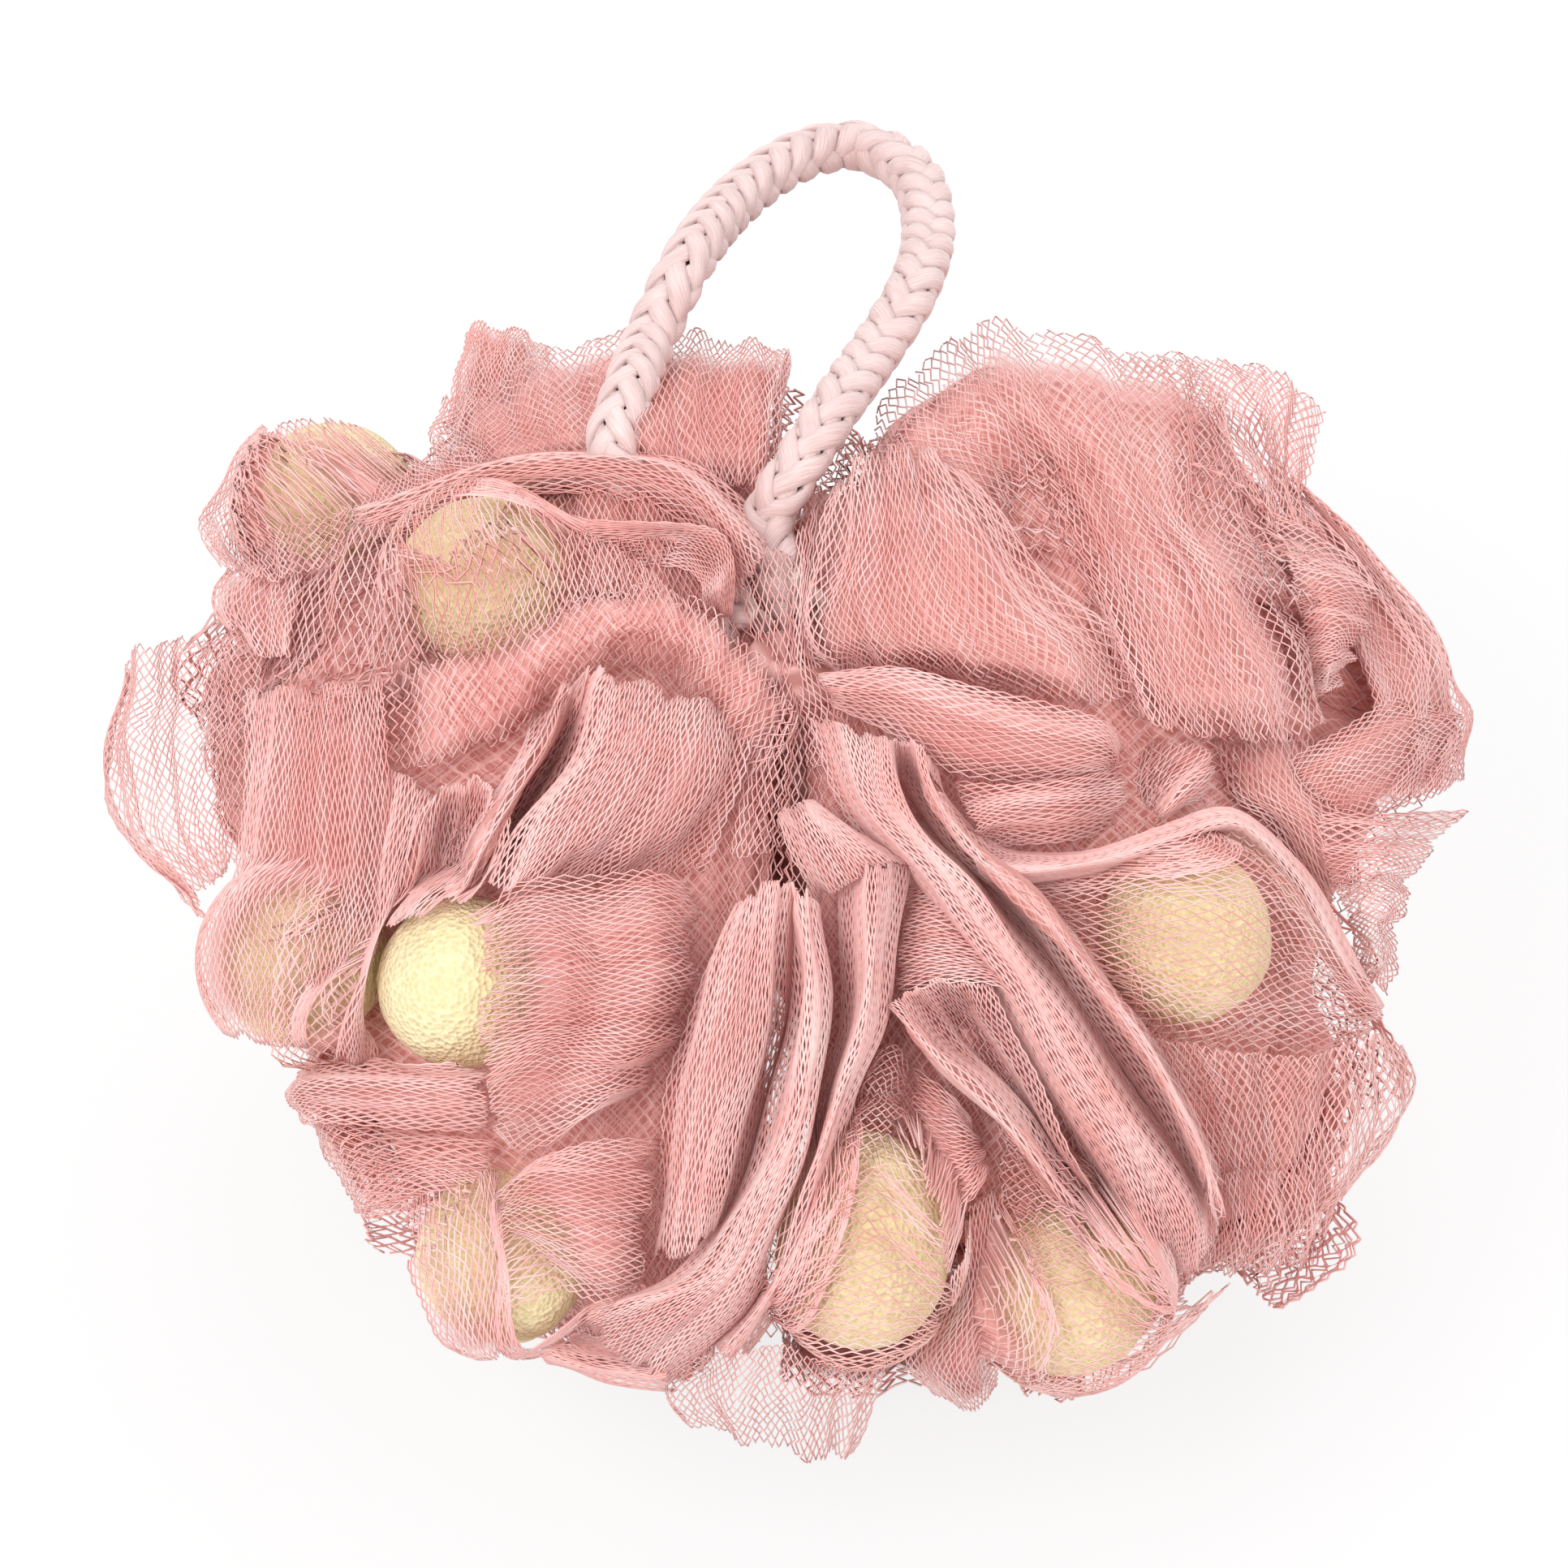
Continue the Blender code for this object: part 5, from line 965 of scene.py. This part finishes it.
# Foam balls: open-cell foam, pale yellow and matt, cut a little uneven. Each is 21 mm across, apart from the one
# in the middle fold, which is 26 mm long. Eight show in the photograph and four are guessed.
foam_yellow, place, shader = new_material("foam_yellow", Roughness=0.95, Sheen_Weight=0.2)
pores = place.node("ShaderNodeTexVoronoi", 0, {0: place, 2: 1500.0})
mottle = place.node("ShaderNodeTexNoise", 0, {0: place, 2: 160.0, 3: 4.0})
feed((pores * 0.55 + mottle * 0.45).ramp((0.1, (0.80, 0.61, 0.29)), (0.3, (0.93, 0.76, 0.41)),
                                         (0.65, (0.97, 0.84, 0.52))), shader, "Base Color")
feed(pores.node("ShaderNodeBump", 0, {0: 1.0, 1: 0.0007, "Height": pores * 0.7 + mottle * 0.3}), shader, "Normal")
BALL_ROWS, BALL_TURNS = 26, 44
lean, angle = np.meshgrid(np.linspace(0.02, math.pi - 0.02, BALL_ROWS),
                          np.linspace(0, 2 * math.pi, BALL_TURNS, endpoint=False), indexing="ij")
way = np.stack([np.sin(lean) * np.cos(angle), np.sin(lean) * np.sin(angle), np.cos(lean)], axis=-1)
for number, centre in enumerate(ball_places, 1):
    dice = np.random.default_rng(number)
    lumps = sum(high * np.sin(often * (way @ unit(dice.normal(size=3))) + dice.uniform(0, 6))
                for often, high in ((2.5, 0.012), (4, 0.012), (7, 0.010), (13, 0.005), (29, 0.004), (47, 0.003)))
    longer = BALL_RADIUS * (BLOCK_STRETCH - 1) if number == BLOCK_BALL else 0.0
    half = BALL_RADIUS + longer * np.abs(way @ PICTURE_UP) ** 1.5
    points = centre + way * (half * (1 + lumps))[..., None]
    quads, caps = tube_faces(1, BALL_ROWS, BALL_TURNS)
    ball = add_mesh(f"foam_{number:02d}", points.reshape(-1, 3), quads, caps)
    ball.data.materials.append(foam_yellow)
    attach(ball, "root")
    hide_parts(f"foam_ball_{number:02d}")

# Tie: a 3.1 mm twisted cord, dusty pink, wound three times round the 28 mm neck where both lengths of net are
# gathered. It can't be seen in the photograph.
cord_dusty, place, shader = new_material("cord_dusty", Roughness=0.9, Specular_IOR_Level=0.1)
around, lengthways = attribute_pair(place, "fibre")
ply = (around * (2 * math.pi * 3) + lengthways).of('SINE') * 0.5 + 0.5
feed(ply.ramp((0.1, (0.48, 0.21, 0.19)), (0.6, (0.76, 0.43, 0.40))), shader, "Base Color")
feed(ply.node("ShaderNodeBump", 0, {0: 0.8, 1: 0.0006, "Height": ply}), shader, "Normal")
CORD_SIDES, TIE_TURNS, TIE_STEPS, TIE_STEP, TIE_RADIUS = 12, 3, 60, 0.0032 * 0.66, 0.0156


def plain_cord(name, route, radius, pitch):
    """Twisted cord along a route, with a mark for its plies."""
    side, out = carried_frame(route)
    angle = 2 * math.pi * np.arange(CORD_SIDES) / CORD_SIDES
    ring = route[:, None] + radius * (np.cos(angle)[None, :, None] * side[:, None]
                                      + np.sin(angle)[None, :, None] * out[:, None])
    run = np.concatenate([[0], np.cumsum(np.linalg.norm(np.diff(route, axis=0), axis=1))])
    marks = np.stack(np.broadcast_arrays((np.arange(CORD_SIDES) / CORD_SIDES)[None, :],
                                         (run * 2 * math.pi / pitch)[:, None]), axis=-1)
    quads, caps = tube_faces(1, len(route), CORD_SIDES)
    piece = add_mesh(name, ring.reshape(-1, 3), quads, caps, {"fibre": marks.reshape(-1, 2)})
    piece.data.materials.append(cord_dusty)
    return piece


turn = np.linspace(0, TIE_TURNS, TIE_TURNS * TIE_STEPS + 1)[:, None]
wound = (TIE_PLACE + TIE_AXIS * ((turn - TIE_TURNS / 2) * TIE_STEP)
         + TIE_RADIUS * (np.cos(2 * math.pi * turn) * TIE_SIDE + np.sin(2 * math.pi * turn) * UPRIGHT))
tie = plain_cord("tie_winding", wound, radius=0.00155, pitch=0.006)
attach(tie, "root")
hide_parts("centre_tie")

# Knot: both ends of the braid, wound on themselves into a lump 13 mm across, on the stem that goes to the tie.
# Only a pale bit of it shows in the photograph, deep in the valley between the halves.
STEM_START, LAPS, LAP_STEPS, LAP_RADIUS, LAP_SWING = 0.0172, 2.6, 90, 0.0037, 0.0030
stem_way = unit(KNOT_MIDDLE - TIE_PLACE)
stem_side = unit(np.cross(stem_way, np.array([0, 1.0, 0])))
stem_deep = np.cross(stem_way, stem_side)
stem_length = np.linalg.norm(KNOT_MIDDLE - TIE_PLACE) - STEM_START
stem = [TIE_PLACE + stem_way * (STEM_START + stem_length * share) for share in np.linspace(0, 0.8, 20)[:-3]]
lump = [KNOT_MIDDLE + stem_way * (LAP_SWING * math.sin(2.2 * lap * math.pi)) + LAP_RADIUS * (
    math.cos(2 * math.pi * lap) * stem_side + math.sin(2 * math.pi * lap) * stem_deep)
    for lap in np.linspace(0, LAPS, LAP_STEPS)]
knot = plain_cord("knot_lump", np.array(stem + lump), radius=0.0028, pitch=0.009)
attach(knot, "root")
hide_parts("loop_knot")

# Studio: a pale floor and a white surround, which the camera sees brighter than they light the pouf, and soft lamps
# over, beside and behind the camera.
FLOOR_HALF = 6
corners = [(-FLOOR_HALF, -FLOOR_HALF, 0), (FLOOR_HALF, -FLOOR_HALF, 0), (FLOOR_HALF, FLOOR_HALF, 0),
           (-FLOOR_HALF, FLOOR_HALF, 0)]
floor = add_mesh("floor", np.array(corners, float), [(0, 1, 2, 3)], smooth=False)
floor_pale, place, shader = new_material("floor_pale", Base_Color=(0.86, 0.86, 0.86, 1), Roughness=0.9)
tree = floor_pale.node_tree
rays = tree.nodes.new("ShaderNodeLightPath")
seen = Field(tree, rays.outputs["Is Camera Ray"])
glow = tree.nodes.new("ShaderNodeEmission")
glow.inputs[1].default_value = 1.0
mix = tree.nodes.new("ShaderNodeMixShader")
tree.links.new((seen * 0.8).socket, mix.inputs[0])
tree.links.new(shader.outputs[0], mix.inputs[1])
tree.links.new(glow.outputs[0], mix.inputs[2])
tree.links.new(mix.outputs[0], tree.nodes["Material Output"].inputs[0])
floor.data.materials.append(floor_pale)

world = bpy.data.worlds.new("surround")
bpy.context.scene.world = world
world.use_nodes = True
tree = world.node_tree
rays = tree.nodes.new("ShaderNodeLightPath")
seen = Field(tree, rays.outputs["Is Camera Ray"])
tree.links.new((seen * 0.3 + 0.7).socket, tree.nodes["Background"].inputs[1])
tree.nodes["Background"].inputs[0].default_value = (1, 1, 1, 1)
for label, place, size, power in (("key", (-0.55, -0.65, 1.05), 0.7, 9.5), ("fill", (0.8, -0.5, 0.7), 0.9, 4.0),
                                  ("rear", (0.1, 0.9, 0.8), 0.8, 5.0)):
    lamp = bpy.data.objects.new(label, bpy.data.lights.new(label, 'AREA'))
    lamp.data.size, lamp.data.energy = size, power
    lamp.location = place
    lamp.rotation_euler = (Vector(MIDDLE) - Vector(place)).to_track_quat('-Z', 'Y').to_euler()
    bpy.context.scene.collection.objects.link(lamp)
bpy.context.scene.view_settings.view_transform = 'Standard'
